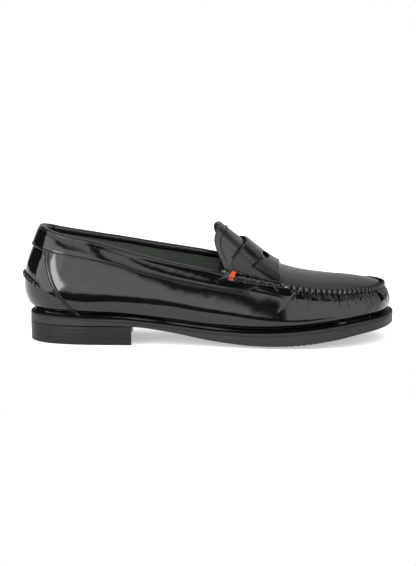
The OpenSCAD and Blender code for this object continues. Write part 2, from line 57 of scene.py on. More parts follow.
TOE, RING = 12, 24
LEATHER_T, LINING_T, STIFFENER_T, GAP = 1.6, 1.0, 0.9, 0.3
WELT_T, INSOLE_T, HEEL_H, TOP_PIECE_T, HEEL_LEN = 3.2, 2.6, 15.0, 6.0, 83.0
ROLL_LEAN = math.radians(32)
COUNTER_LOW, COUNTER_TOP, COLLAR_END = 2.82, 1.7, 6.95
ROLL_FROM, ROLL_TO, SEAM_FROM = 6.12, 7.54, 7.62
COLLAR_V, COLLAR_DROP, TUCK_V, ROLL_V = 0.775, 0.065, 0.83, 0.9
KICKER_HALF = 1.55
SEAM_INSET = 2 * LEATHER_T + 0.3
ROLL_MARKS = (0.16, 0.34, 0.5, 0.66, 0.82)

STATIONS = np.array([
    [0, 0, 0, 0, -1.3, 4.5, 4, -2.2, -8],
    [5, 14.6, 14.6, 0, -1.4, 4.3, 4, -1.8, -7.5],
    [18, 25.4, 25.4, 0, -1.8, 3, 3.4, -0.6, -6.4],
    [42, 31.6, 31.4, 0, -2.2, 0.8, 1.2, -1.2, -6.4],
    [75, 33.2, 31.4, 1.5, -3, 2, 3, 0.8, -5],
    [112, 35.6, 30.6, 4, -3.4, 2.6, 4.2, 2.1, -5],
    [150, 41.6, 36.4, 3, -4, 1, 2.2, -0.6, -8],
    [185, 49, 46, 1, -4.6, -1.6, -1.3, -4.3, -11],
    [217, 53, 53, 0, -4.8, -2.8, -2.8, -5.4, -12],
    [246, 50, 51, 0, -4.8, -2.8, -2.6, -5.2, -12],
    [271, 40, 43.5, 0, -4.6, -2.8, -2.5, -5, -11],
    [289, 24, 29, 0, -4.4, -2.8, -2.5, -4.4, -9],
    [297, -3, 3, 0, -4.4, -2.8, -2.4, -4, -7]])
LEVELS = np.array([0, 0.22, 0.5, 0.78, 1])
SEAT_Z = [[0, 25], [42, 23.6], [75, 21.8], [112, 17.8], [150, 13.9], [185, 13], [217, 15],
          [246, 18.2], [271, 21.3], [297, 23.4]]
EDGE_Z = [[0, HEEL_H], [84, HEEL_H], [112, 11.6], [150, 5], [185, 2.2], [217, 3.4], [246, 6.8],
          [271, 11], [297, 14.2]]
CROWN = [[0, 0], [84, 0], [112, 0.6], [150, 2], [180, 2.6], [210, 3.4], [246, 3], [297, 1]]
TOP_Z = [[9, 93], [24, 88.6], [57, 82.2], [98, 71], [139, 62.2], [160, 58.3], [181, 54.8],
         [202, 50.2], [220, 46.4], [245, 43.6], [270, 42.8], [290, 44]]
MEDIAL_RISE = [[9, 0.2], [24, -0.2], [57, -0.2], [89, 3.2], [122, 5.3], [150, 5.9], [180, 4.2],
               [208, 0.9], [245, 0], [290, 0]]
APRON_Z = [[146, 103], [154, 97.4], [164, 89.2], [174, 81.2], [188, 70], [200, 62.6],
           [208, 59.6], [221, 56.6], [241, 54], [260, 52.4], [273, 50.4], [284, 47.4], [290, 44.4]]


def ring_table():
    rows = []
    for j in range(RING):
        outer = j <= TOE
        s = STATIONS[j if outer else RING - j]
        arch = 0 if outer else s[3]
        rows.append([s[0], -s[1] if outer else s[2], s[4], *(s[5:9] + arch)])
    return np.array(rows)


STATION = ring_table()


def ease(x):
    f = np.clip(x, 0, 1)
    return f * f * (3 - 2 * f)


def hermite(x0, y0, m0, x1, y1, m1, x):
    w = x1 - x0
    f = (x - x0) / w
    f2, f3 = f * f, f * f * f
    return ((2 * f3 - 3 * f2 + 1) * y0 + (f3 - 2 * f2 + f) * w * m0
            + (3 * f2 - 2 * f3) * y1 + (f3 - f2) * w * m1)


def slopes(xs, ys):
    m = np.empty(ys.shape)
    m[..., 1:-1] = (ys[..., 2:] - ys[..., :-2]) / (xs[2:] - xs[:-2])
    m[..., 0] = (ys[..., 1] - ys[..., 0]) / (xs[1] - xs[0])
    m[..., -1] = (ys[..., -1] - ys[..., -2]) / (xs[-1] - xs[-2])
    return m


def curve(table, x):
    tab = np.array(table, float)
    xs, ys = tab[:, 0], tab[:, 1]
    m = slopes(xs, ys)
    x = np.clip(x, xs[0], xs[-1])
    i = np.clip(np.searchsorted(xs, x, side="right") - 1, 0, len(xs) - 2)
    return hermite(xs[i], ys[i], m[i], xs[i + 1], ys[i + 1], m[i + 1], x)


def level_curve(q, v):
    """The wall's offset at share v, from the offsets at the five LEVELS in q."""
    m = slopes(LEVELS, q)
    v = np.clip(v, 0, 1)
    i = np.clip(np.searchsorted(LEVELS, v, side="right") - 1, 0, 3)

    def at(a, k):
        return np.take_along_axis(a, k[..., None], -1)[..., 0]

    return hermite(LEVELS[i], at(q, i), at(m, i), LEVELS[i + 1], at(q, i + 1), at(m, i + 1), v)


def ring_at(t):
    i = np.floor(t).astype(int)
    f = (t - i)[..., None]
    a, b, c, d = (STATION[(i + n) % RING] for n in (-1, 0, 1, 2))
    return (2 * b + (c - a) * f + (2 * a - 5 * b + 4 * c - d) * f ** 2
            + (3 * b - a - 3 * c + d) * f ** 3) / 2


def outward(t):
    d = ring_at(t + 0.02) - ring_at(t - 0.02)
    d = d[..., :2] / np.linalg.norm(d[..., :2], axis=-1, keepdims=True)
    return np.stack([d[..., 1], -d[..., 0]], -1)


def at_edge(t, n, z):
    t, n, z = np.broadcast_arrays(*(np.asarray(a, float) for a in (t, n, z)))
    q, o = ring_at(t), outward(t)
    return np.stack([q[..., 0] + n * o[..., 0], q[..., 1] + n * o[..., 1], z], -1)


def is_medial(t):
    return np.mod(t, RING) > TOE


def seat_z(t):
    return curve(SEAT_Z, ring_at(t)[..., 0])


def rim_z(t):
    q = ring_at(t)
    x = q[..., 0] + q[..., 6] * outward(t)[..., 0]
    return curve(TOP_Z, x) + np.where(is_medial(t), curve(MEDIAL_RISE, x), 0)


def wall(t, v, d):
    """A point of the upper's wall, moved out of it by d."""
    t, v, d = np.broadcast_arrays(*(np.asarray(a, float) for a in (t, v, d)))
    q = ring_at(t)[..., 2:7]
    low, high = seat_z(t), rim_z(t)
    va, vb = np.maximum(v - 0.02, 0), np.minimum(v + 0.02, 1)
    gn = level_curve(q, vb) - level_curve(q, va)
    gz = (vb - va) * (high - low)
    g = np.hypot(gn, gz)
    return at_edge(t, level_curve(q, v) + d * gz / g, low + v * (high - low) - d * gn / g)


def over_rim(t, inwards, up):
    t = np.asarray(t, float)
    return at_edge(t, ring_at(t)[..., 6] - inwards, rim_z(t) + up)


def apron_base(i, w):
    a, b = over_rim(TOE - i, SEAM_INSET, 0), over_rim(TOE + i, SEAM_INSET, 0)
    m = (a + b) / 2
    h = np.maximum(curve(APRON_Z, m[..., 0]) - m[..., 2], 0.2)
    p = 1 - 0.42 * ease((i - 3) / 2.2)
    up = h * np.power(np.maximum(1 - w * w, 0), p)
    out = a + (b - a) * ((w + 1) / 2)[..., None]
    out[..., 2] += up
    return out


def apron(i, w, d):
    i, w, d = np.broadcast_arrays(*(np.asarray(a, float) for a in (i, w, d)))
    e = 0.02
    di = apron_base(i + e, w) - apron_base(np.maximum(i - e, 0.001), w)
    dw = apron_base(i, np.minimum(w + e, 1)) - apron_base(i, np.maximum(w - e, -1))
    n = np.cross(dw, di)
    return apron_base(i, w) + d[..., None] * n / np.linalg.norm(n, axis=-1, keepdims=True)


def fold(t):
    return np.abs(np.mod(t + TOE + 4 * RING, RING) - TOE)


def counter_t(v):
    return COUNTER_TOP + (COUNTER_LOW - COUNTER_TOP) * np.power(1 - np.minimum(v, 1), 2.2)


def collar_low(t):
    return COLLAR_V - COLLAR_DROP * np.power(fold(t) / 7, 2.4)


def kicker_v(t):
    return 0.43 - 0.1 * (t / KICKER_HALF) ** 2


def tongue_i(w):
    w = np.abs(w)
    return 5.9 + 0.17 * np.sin(np.pi * w ** 2.4) - 0.1 * w ** 4


def edge_z(t):
    return curve(EDGE_Z, ring_at(t)[..., 0])


def bottom_z(t, w):
    x = ring_at(t)[..., 0]
    return edge_z(t) - np.minimum(curve(CROWN, x), edge_z(t)) * (1 - w * w)


# ---------- mesh tools

def waves(p, length, seed, n=14, stretch=(1, 1, 1)):
    """Smooth, repeatable unevenness of about unit size, from a few crossed waves."""
    g = np.random.default_rng(seed)
    k = g.normal(size=(n, 3))
    k /= np.linalg.norm(k, axis=1, keepdims=True)
    k *= 2 * np.pi / length * g.uniform(0.6, 1.5, (n, 1)) / np.array(stretch)
    return np.sin(p @ k.T + g.uniform(0, 2 * np.pi, n)).sum(-1) * math.sqrt(2 / n)


def graded(length, step, fine=(0, 0.12, 0.3, 0.55, 0.9, 1.4, 2.1)):
    """Positions from 0 to 1 along a length, closer together at both ends."""
    ends = np.array(fine) / length
    n = max(2, round((length - 2 * fine[-1]) / step))
    return np.concatenate([ends[:-1], np.linspace(ends[-1], 1 - ends[-1], n + 1), 1 - ends[:-1][::-1]])


def border(p, rows=True, cols=True):
    """Each grid point's distance from the grid's own edges."""
    dist = np.full(p.shape[:2], 1e3)
    for axis, wanted in ((0, rows), (1, cols)):
        if wanted:
            step = np.linalg.norm(np.diff(p, axis=axis), axis=-1)
            run = np.concatenate([np.zeros_like(np.take(step, [0], axis)), np.cumsum(step, axis)], axis)
            dist = np.minimum(dist, np.minimum(run, np.take(run, [-1], axis) - run))
    return dist


def rounding(s, radius, drop):
    """How far a rounded edge has dropped at a distance s from it."""
    x = np.clip(1 - s / radius, 0, 1)
    return drop * (1 - np.sqrt(1 - x * x))


def bump_at(s, width):
    return np.exp(-(s / width) ** 2)


def put(name, points, faces, material, slot, nodes=(), flat=False):
    """Makes a piece from points in mm, which rides on the shoe and stands for CAD nodes."""
    points = np.asarray(points, float).reshape(-1, 3) + (HEEL_X, 0, GROUND_Z)
    mesh = bpy.data.meshes.new(name)
    mesh.from_pydata((points * MM).tolist(), [], faces)
    fix = bmesh.new()
    fix.from_mesh(mesh)
    bmesh.ops.recalc_face_normals(fix, faces=fix.faces)
    fix.to_mesh(mesh)
    fix.free()
    mesh.polygons.foreach_set("use_smooth", [not flat] * len(mesh.polygons))
    mesh.set_sharp_from_angle(angle=math.radians(42))
    mesh.materials.append(material)
    obj = bpy.data.objects.new(name, mesh)
    bpy.context.scene.collection.objects.link(obj)
    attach(obj, "root")
    if nodes:
        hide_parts(*nodes)
    return obj


def slab(outer, inner, closed=False, hole=None):
    """A closed sheet between two grids. hole marks the cells that aren't there."""
    rows, cols = outer.shape[:2]
    last = rows if closed else rows - 1
    r, c = np.arange(last)[:, None], np.arange(cols - 1)[None, :]
    corner = [(r % rows) * cols + c, (r % rows) * cols + c + 1,
              ((r + 1) % rows) * cols + c + 1, ((r + 1) % rows) * cols + c]
    keep = np.ones((last, cols - 1), bool) if hole is None else ~hole
    quads = np.stack(corner, -1)
    half = rows * cols
    faces = [quads[keep], quads[keep][:, ::-1] + half]
    framed = np.pad(keep, 1)
    if closed:
        framed[0], framed[-1] = framed[-2], framed[1]
    around = [framed[:-2, 1:-1], framed[1:-1, 2:], framed[2:, 1:-1], framed[1:-1, :-2]]
    for e, near in enumerate(around):
        cells = quads[keep & ~near]
        a, b = cells[:, e], cells[:, (e + 1) % 4]
        faces.append(np.stack([b, a, a + half, b + half], -1))
    faces = np.concatenate(faces)
    used, index = np.unique(faces, return_inverse=True)
    points = np.concatenate([outer.reshape(-1, 3), inner.reshape(-1, 3)])[used]
    return points, index.reshape(-1, 4).tolist()


def loft(rings, closed=False, caps=True):
    """Skin over rings of points, all with the same count."""
    rings = np.asarray(rings, float)
    m, n = rings.shape[:2]
    r = np.arange(m if closed else m - 1)[:, None]
    c = np.arange(n)[None, :]
    d = (c + 1) % n
    nxt = (r + 1) % m
    faces = np.stack([r * n + c, r * n + d, nxt * n + d, nxt * n + c], -1).reshape(-1, 4).tolist()
    if caps and not closed:
        faces += [list(range(n))[::-1], [(m - 1) * n + k for k in range(n)]]
    return rings.reshape(-1, 3), faces


def joined(parts):
    points, faces, base = [], [], 0
    for p, f in parts:
        points.append(p)
        faces += [[base + i for i in face] for face in f]
        base += len(p)
    return np.concatenate(points), faces


def tube(path, radius, sides=7):
    path = np.asarray(path, float)
    along = np.gradient(path, axis=0)
    along /= np.linalg.norm(along, axis=1, keepdims=True)
    side = np.cross(along, (0.31, 0.22, 0.93))
    side /= np.linalg.norm(side, axis=1, keepdims=True)
    up = np.cross(side, along)
    a = np.arange(sides) * 2 * np.pi / sides
    radius = np.broadcast_to(radius, len(path))[:, None, None]
    ring = np.cos(a)[None, :, None] * side[:, None] + np.sin(a)[None, :, None] * up[:, None]
    return loft(path[:, None] + radius * ring)


def stitch(a, b, normal, radius):
    """One stitch from hole a to hole b, arched a little over the surface."""
    s = np.linspace(0, 1, 7)[:, None]
    lift = radius * (0.9 * np.sin(np.pi * s) ** 0.5 - 1.2 * (np.abs(2 * s - 1) ** 6))
    return tube(a + (b - a) * s + normal * lift, radius)


def stitch_line(points, normals, radius, cover=0.78):
    parts = []
    for k in range(len(points) - 1):
        a, b = points[k], points[k + 1]
        m, h = (a + b) / 2, (b - a) / 2 * cover
        parts.append(stitch(m - h, m + h, normals[k], radius))
    return joined(parts)


def even(points, pitch):
    """Places along a fine path at an even pitch, as positions in its index."""
    run = np.concatenate([[0], np.cumsum(np.linalg.norm(np.diff(points, axis=0), axis=1))])
    n = max(2, round(run[-1] / pitch))
    return np.interp(np.linspace(0, run[-1], n + 1), run, np.arange(len(points)))


def sew(name, parts, node):
    put(name, *joined(parts), black_thread, "black_thread", [node])


def wall_stitches(t, v, out, pitch, radius):
    k = even(wall(t, v, out), pitch)
    t, v = (np.interp(k, np.arange(len(t)), a) for a in (t, v))
    p = wall(t, v, out)
    return stitch_line(p, wall(t, v, out + 1) - p, radius)


# ---------- materials

PORE_DEPTH = 0.006

def set_inputs(node, **values):
    """Sets a node's sockets, named with _ for each space."""
    for socket, value in values.items():
        node.inputs[socket.replace("_", " ")].default_value = value


def shader(m):
    return m.node_tree.nodes["Principled BSDF"]


def material(name, colour, rough, **sockets):
    m = bpy.data.materials.new(name)
    m.use_nodes = True
    set_inputs(shader(m), Base_Color=(*colour, 1), Roughness=rough, **sockets)
    return m


def texture(m, kind, size_mm, stretch=(1, 1, 1), turn=(0, 0, 0), **settings):
    """A noise or Voronoi texture on the object's own coordinates. Returns its node."""
    nodes, links = m.node_tree.nodes, m.node_tree.links
    coord = nodes.get("coord") or nodes.new("ShaderNodeTexCoord")
    coord.name = "coord"
    mapping = nodes.new("ShaderNodeMapping")
    set_inputs(mapping, Rotation=turn, Scale=[1 / (size_mm * MM * s) for s in stretch])
    tex = nodes.new("ShaderNodeTex" + kind)
    links.new(coord.outputs["Object"], mapping.inputs["Vector"])
    links.new(mapping.outputs["Vector"], tex.inputs["Vector"])
    set_inputs(tex, Scale=1, **settings)
    return tex


def noise(m, size_mm, **settings):
    return texture(m, "Noise", size_mm, **settings).outputs["Fac"]


def cells(m, size_mm):
    return texture(m, "Voronoi", size_mm).outputs["Distance"]


def spread(m, source, low, high, out_low, out_high, target):
    """Feeds a texture's low..high as out_low..out_high into one of the shader's inputs."""
    nodes, links = m.node_tree.nodes, m.node_tree.links
    ramp = nodes.new("ShaderNodeMapRange")
    set_inputs(ramp, From_Min=low, From_Max=high, To_Min=out_low, To_Max=out_high)
    links.new(source, ramp.inputs["Value"])
    links.new(ramp.outputs["Result"], shader(m).inputs[target])


def tint(m, source, low, high, colour_low, colour_high):
    """Feeds a texture's low..high as two colours into the shader."""
    nodes, links = m.node_tree.nodes, m.node_tree.links
    ramp = nodes.new("ShaderNodeValToRGB")
    for element, at, colour in zip(ramp.color_ramp.elements, (low, high), (colour_low, colour_high)):
        element.position = at
        element.color = (*colour, 1)
    links.new(source, ramp.inputs["Fac"])
    links.new(ramp.outputs["Color"], shader(m).inputs["Base Color"])


def bumps(m, *layers):
    """Stacks bumps, each (texture output, height in mm)."""
    nodes, links = m.node_tree.nodes, m.node_tree.links
    before = None
    for source, height in layers:
        bump = nodes.new("ShaderNodeBump")
        set_inputs(bump, Strength=1, Distance=height * MM)
        links.new(source, bump.inputs["Height"])
        if before:
            links.new(before.outputs["Normal"], bump.inputs["Normal"])
        before = bump
    links.new(before.outputs["Normal"], shader(m).inputs["Normal"])
    return before


def polished_leather(name, colour, rough, streak=0.004, coat=1.0, coat_rough=0.075):
    """Leather under a smooth brushed-on finish. The finish is the coat, the leather shows through it."""
    m = material(name, colour, rough, Coat_Weight=coat, Coat_Roughness=coat_rough, Specular_IOR_Level=0.0)
    cloud = noise(m, 24, Detail=4, Roughness=0.6)
    brush = noise(m, 2.2, stretch=(5, 5, 1), turn=(0, 0.25, 0), Detail=3, Roughness=0.55)
    sweep = noise(m, 9, stretch=(2.4, 2.4, 1), turn=(0, -0.2, 0), Detail=2)
    pores = cells(m, 0.55)
    tint(m, cloud, 0.35, 0.7, [c * 0.8 for c in colour], [c * 1.5 for c in colour])
    spread(m, brush, 0.3, 0.75, rough * 0.75, rough * 1.35, "Roughness")
    last = bumps(m, (sweep, streak * 4), (brush, streak), (pores, PORE_DEPTH))
    m.node_tree.links.new(last.outputs["Normal"], shader(m).inputs["Coat Normal"])
    return m


def grey(level):
    return (level, level, level)


BLACK = (0.0018, 0.0018, 0.002)
upper_leather = polished_leather("upper_leather", BLACK, 0.35, streak=0.01)
apron_leather = polished_leather("apron_leather", grey(0.009), 0.4, coat=0.9, coat_rough=0.22)
edge_leather = polished_leather("edge_leather", BLACK, 0.4, coat_rough=0.2)

roll_leather = polished_leather("roll_leather", BLACK, 0.35, coat_rough=0.1)
strap_leather = polished_leather("strap_leather", grey(0.003), 0.4, coat=0.8, coat_rough=0.17)

lining_cloth = material("lining_cloth", (0.16, 0.19, 0.15), 0.95, Sheen_Weight=0.25, Sheen_Roughness=0.6)
_nap = noise(lining_cloth, 0.9, Detail=5, Roughness=0.7)
_cloud = noise(lining_cloth, 6, Detail=3)
tint(lining_cloth, _nap, 0.35, 0.68, (0.022, 0.03, 0.021), (0.086, 0.106, 0.078))
bumps(lining_cloth, (_cloud, 0.3), (_nap, 0.5))

lining_leather = material("lining_leather", (0.018, 0.017, 0.016), 0.62)
bumps(lining_leather, (cells(lining_leather, 0.8), 0.06))


def edge_material(name, colour, rough, specular):
    """A trimmed, inked and burnished edge: faint lines along it."""
    m = material(name, colour, rough, Specular_IOR_Level=specular)
    lines = noise(m, 0.5, stretch=(60, 60, 1), Detail=3, Roughness=0.6)
    specks = noise(m, 1.4, Detail=4)
    tint(m, lines, 0.3, 0.75, [c * 0.75 for c in colour], [c * 1.3 for c in colour])
    bumps(m, (lines, 0.05), (specks, 0.03))
    return m


def add_brown_line_and_painted_shade_top(m, brown, painted_shade):
    """Paints the faces that look up near black, as painted shade for the crease over the welt, with a thin
    brown line where they start, which is the leather's own colour.
    """
    nodes, links = m.node_tree.nodes, m.node_tree.links
    colour = shader(m).inputs["Base Color"]
    side = colour.links[0].from_socket
    split = nodes.new("ShaderNodeSeparateXYZ")
    links.new(nodes["coord"].outputs["Normal"], split.inputs["Vector"])
    # Faces tilted a little up get the brown line, faces that look further up get the painted shade.
    for low, high, over in ((0.12, 0.16, brown), (0.19, 0.24, painted_shade)):
        step = nodes.new("ShaderNodeMapRange")
        set_inputs(step, From_Min=low, From_Max=high)
        links.new(split.outputs["Z"], step.inputs["Value"])
        mix = nodes.new("ShaderNodeMix")
        mix.data_type = "RGBA"
        links.new(step.outputs["Result"], mix.inputs["Factor"])
        links.new(side, mix.inputs[6])
        mix.inputs[7].default_value = (*over, 1)
        side = mix.outputs[2]
    links.new(side, colour)


sole_edge = edge_material("sole_edge", (0.015, 0.015, 0.0147), 0.46, 0.16)
heel_edge = edge_material("heel_edge", grey(0.009), 0.4, 0.14)
welt_leather = edge_material("welt_leather", (0.016, 0.016, 0.0157), 0.5, 0.08)
# The welt's top faces get painted shade, near black, for the dark crease over the welt; the brown line is the
# leather's own colour.
add_brown_line_and_painted_shade_top(welt_leather, (0.06, 0.038, 0.022), grey(0.002))

heel_rubber = material("heel_rubber", grey(0.009), 0.42, Specular_IOR_Level=0.14)
bumps(heel_rubber, (noise(heel_rubber, 0.7, Detail=3), 0.03))


def thread_material(name, colour):
    m = material(name, colour, 0.6, Specular_IOR_Level=0.12)
    twist = noise(m, 0.25, stretch=(1, 1, 3), turn=(0.6, 0.5, 0), Detail=2)
    tint(m, twist, 0.3, 0.7, [c * 0.7 for c in colour], [min(c * 1.3, 1) for c in colour])
    bumps(m, (twist, 0.06))
    return m


black_thread = thread_material("black_thread", grey(0.003))
orange_thread = thread_material("orange_thread", (0.42, 0.065, 0.018))


def plain_material(name, colour, rough, height=0.05, size=1.2, **sockets):
    m = material(name, colour, rough, **sockets)
    grain = noise(m, size, Detail=4)
    tint(m, grain, 0.3, 0.7, [c * 0.8 for c in colour], [min(c * 1.15, 1) for c in colour])
    bumps(m, (grain, height))
    return m


cork = plain_material("cork_grain", (0.33, 0.2, 0.11), 0.85, 0.3, 2.0)
stiffener = plain_material("stiff_cloth", (0.6, 0.56, 0.46), 0.9, 0.12, 0.6)
cotton = plain_material("cotton", (0.56, 0.53, 0.46), 0.9, 0.12, 0.5)

# ---------- hand stitches' places

SEAM_LENGTH, STITCH_PITCH = 250, 5.5
STITCHES = round(SEAM_LENGTH / STITCH_PITCH)
HAND_T = np.linspace(SEAM_FROM + 0.22, RING - SEAM_FROM - 0.22, STITCHES + 1)
HAND_DEPTH = np.random.default_rng(11).uniform(0.55, 1.0, len(HAND_T))
HAND_REACH = np.random.default_rng(12).uniform(7, 21, len(HAND_T))
HAND_SLANT = np.random.default_rng(13).normal(0, 0.04, len(HAND_T))


def in_seam(t):
    return ease((fold(t) - SEAM_FROM) / 0.12)


def rim_run():
    """Distance along the rim at each t, to measure from stitch to stitch."""
    t = np.linspace(0, RING, 4801)
    p = over_rim(t, 0, 0)
    return t, np.concatenate([[0], np.cumsum(np.linalg.norm(np.diff(p, axis=0), axis=1))])


RUN_T, RUN = rim_run()


def run_of(t):
    return np.interp(np.mod(t, RING), RUN_T, RUN)


def stitch_pinch(t, width=1.2):
    """1 at a hand stitch and 0 between two."""
    s = run_of(t)
    return np.max(np.stack([bump_at(s - run_of(h), width) for h in HAND_T]), 0)


def pleats(t, below):
    """Depth of the gathers under the apron seam, `below` mm down from it."""
    s = run_of(t)
    depth = np.zeros(np.shape(t))
    for h, a, reach, slant in zip(HAND_T, HAND_DEPTH, HAND_REACH, HAND_SLANT):
        at_strap = bump_at(fold(h) - SEAM_FROM - 0.4, 0.45)
        length = reach * (0.75 + 0.2 * ease((fold(h) - 9) / 1.5) + 0.4 * at_strap)
        along = s - run_of(h) - slant * below * 5
        crease = 1.35 * a * bump_at(along, 0.42 + 0.012 * below) * np.exp(-(below / length) ** 3)
        swell = 0.42 * (a - 0.55) * bump_at(along, 1.8 + 0.1 * below + at_strap) * np.exp(-below / length)
        depth += crease + swell * (1 + 1.5 * at_strap)
    return depth * ease((fold(t) - SEAM_FROM + 0.3) / 0.7)


# ---------- vamp

RIDGE = 3.3          # height of the stitched ridge over the rim
CREASE = 0.8         # how far below the rim the ridge's foot lies
FEATHER_TUCK = 3.8   # how far the upper curls in over the welt
TUCK_HIGH = 5.2      # the height over which it curls
MARGIN = 9           # width of the edge turned in under the wall


def tuck(t, v):
    above_welt = v * (rim_z(t) - seat_z(t))
    depth = FEATHER_TUCK * (1 - 0.5 * ease((fold(t) - 9) / 0.6))
    return depth * np.maximum(1 - above_welt / TUCK_HIGH, 0) ** 1.35


def vamp_top(t):
    f = fold(t)
    low = TUCK_V + (ROLL_V - TUCK_V) * ease((f - 6.6) / 0.4)
    return np.where(f < 7.5, low, ROLL_V + (1 - ROLL_V) * ease((f - 7.5) / 0.12))


def ridge_shape(t, side):
    """The stitched ridge's outline over the rim, as [inwards, up] from crease to top.
    side is 1 for the vamp's face and -1 for the face inside the vamp."""
    pinch = stitch_pinch(t)[..., None]
    h = np.linspace(0, 1, 9)
    up = -CREASE + (RIDGE + CREASE - 0.55 * pinch) * np.sin(h * np.pi / 2) ** 0.9
    if side < 0:
        return 1.6 + 0.05 * h - 0.25 * pinch * np.ones_like(h), up - 0.12 * bump_at(h - 1, 0.2)
    swell = np.array([0, 1, 0.97, 0.9, 0.8, 0.66, 0.45, 0.1, -0.55])
    inwards = 0.15 - 0.8 * swell * (1 - pinch) + 0.6 * np.maximum(swell, 0) * pinch + 0.5 * pinch * (h > 0.95)
    return inwards, up


def lasting_margin(t):
    """The edge turned in under the wall, as the outer and the inner layer."""
    edge = ring_at(t)[:, 2]
    return [np.stack([at_edge(t, edge - m, seat_z(t) + z) for m in (MARGIN, LEATHER_T)], 1)
            for z in (0.05, LEATHER_T + 0.05)]


def make_vamp():
    share = 1 - (1 - np.linspace(0, 1, 46)) ** 1.5
    # The stations lie closer together along the seam, for its creases.
    along = graded(640, 1.3)
    along = np.sort(np.concatenate([along[np.abs(along - 0.5) > 0.246], np.linspace(0.255, 0.745, 660)]))
    near_seam = counter_t(np.zeros(1)) + 0.02
    top = vamp_top(near_seam + (RING - 2 * near_seam) * along)[:, None]
    v = np.maximum(share * top, 0.012)
    a = counter_t(v) + 0.02
    t = a + (RING - 2 * a) * along[:, None]
    smooth = wall(t, v, 0)
    run = np.linalg.norm(np.diff(smooth, axis=1), axis=-1)
    below = np.concatenate([np.cumsum(run[:, ::-1], 1)[:, ::-1], np.zeros((len(t), 1))], 1)
    seam = in_seam(t)
    pinch = stitch_pinch(t, 1.3) * seam
    out = 0.05 * waves(smooth, 34, 1, stretch=(1.6, 1, 1)) + 0.006 * waves(smooth, 9, 2)
    out -= pleats(t, below)
    out -= 0.3 * seam * pinch * np.exp(-below / 2)
    out -= tuck(t, v)
    outer = wall(t, v, out)
    inner = wall(t, v, np.minimum(-LEATHER_T, out + tuck(t, v) - 0.3) - tuck(t, v))
    rim_t = t[:, -1:] * np.ones(9)
    rise = 0.2 * np.linspace(0, 1, 9)[None, :, None] * (0, 0, 1)
    has_ridge = in_seam(rim_t)[..., None]
    lips = []
    for side, edge in ((1, outer), (-1, inner)):
        inwards, up = ridge_shape(t[:, -1], side)
        ridge = over_rim(rim_t, inwards, up)
        lips.append(has_ridge * ridge + (1 - has_ridge) * (edge[:, -1:] + rise))
    keep = slice(0, -3)
    margin = lasting_margin(t[:, 0])
    points, faces = slab(np.concatenate([margin[0], outer[:, keep], lips[0]], 1),
                         np.concatenate([margin[1], inner[:, keep], lips[1]], 1))
    put("vamp_leather", points, faces, upper_leather, "black_leather", ["vamp"])


make_vamp()

# ---------- counter, collar and topline

STRIP_W, STRIP_T = 4.1, 1.05     # the raised strip along the counter seam
COUNTER_ROWS = (1.0, 3.0)        # its stitch rows, in from the edge


def counter_edge(v):
    return counter_t(v) + 0.14


def make_counter():
    edge = np.array([0, 0.1, 0.25, 0.45, 0.8, 1.3, 1.9, 2.5, 3.1, 3.5, 3.8, 4, 4.1, 4.2, 4.35, 4.6, 5, 5.8])
    half = np.concatenate([1 - edge / 50, np.linspace(0.87, 0, 26)])
    s = np.concatenate([-half, half[::-1][1:]])[:, None]
    top = np.where(np.abs(s) > 0.75, COLLAR_V - 0.004, TUCK_V)
    v = np.linspace(0.012, 1, 46) * top
    t = counter_edge(v) * s
    flat = wall(t, v, 0)
    run = np.cumsum(np.linalg.norm(np.diff(flat, axis=0), axis=-1), 0)
    run = np.concatenate([np.zeros((1, v.shape[1])), run])
    from_edge = np.minimum(run, run[-1] - run)
    raised = STRIP_T * (1 - ease((from_edge - STRIP_W + 0.35) / 0.5)) - rounding(from_edge, 0.7, 0.6)
    raised -= 0.25 * sum(bump_at(from_edge - row, 0.34) for row in COUNTER_ROWS)
    gather = np.abs(v - kicker_v(t)) * 60
    puckers = 0.0
    for at, slant in zip(np.linspace(-1.45, 1.45, 11), (2, -1, 3, 1, -2, 2, -3, 1, 2, -1, 2)):
        puckers = puckers + bump_at((t - at) * 16 - slant * 0.05 * gather, 0.8)
    raised += 0.03 * waves(flat, 30, 3) - 0.32 * puckers * np.exp(-gather / 4)
    outer = wall(t, v, raised - tuck(t, v))
    inner = wall(t, v, np.where(from_edge < 3.6, 0.1, -LEATHER_T) - tuck(t, v))
    margin = lasting_margin(t[:, 0])
    points, faces = slab(np.concatenate([margin[0], outer], 1), np.concatenate([margin[1], inner], 1))
    put("counter_leather", points, faces, upper_leather, "black_leather", ["counter_cover"])
    rows = []
    for side in (-1, 1):
        for inset in COUNTER_ROWS:
            v = np.linspace(0.03, 0.74, 200)
            t = side * counter_edge(v)
            speed = np.linalg.norm(wall(t + 0.01, v, 0) - wall(t - 0.01, v, 0), axis=-1) / 0.02
            rows.append(wall_stitches(t - side * inset / speed, v, STRIP_T - 0.1, 2.1, 0.31))
    sew("counter_thread", rows, "counter_stitches")


make_counter()


def collar_bottom(t):
    return collar_low(t) + 0.17 * ease((fold(t) - 6.6) / 0.36)


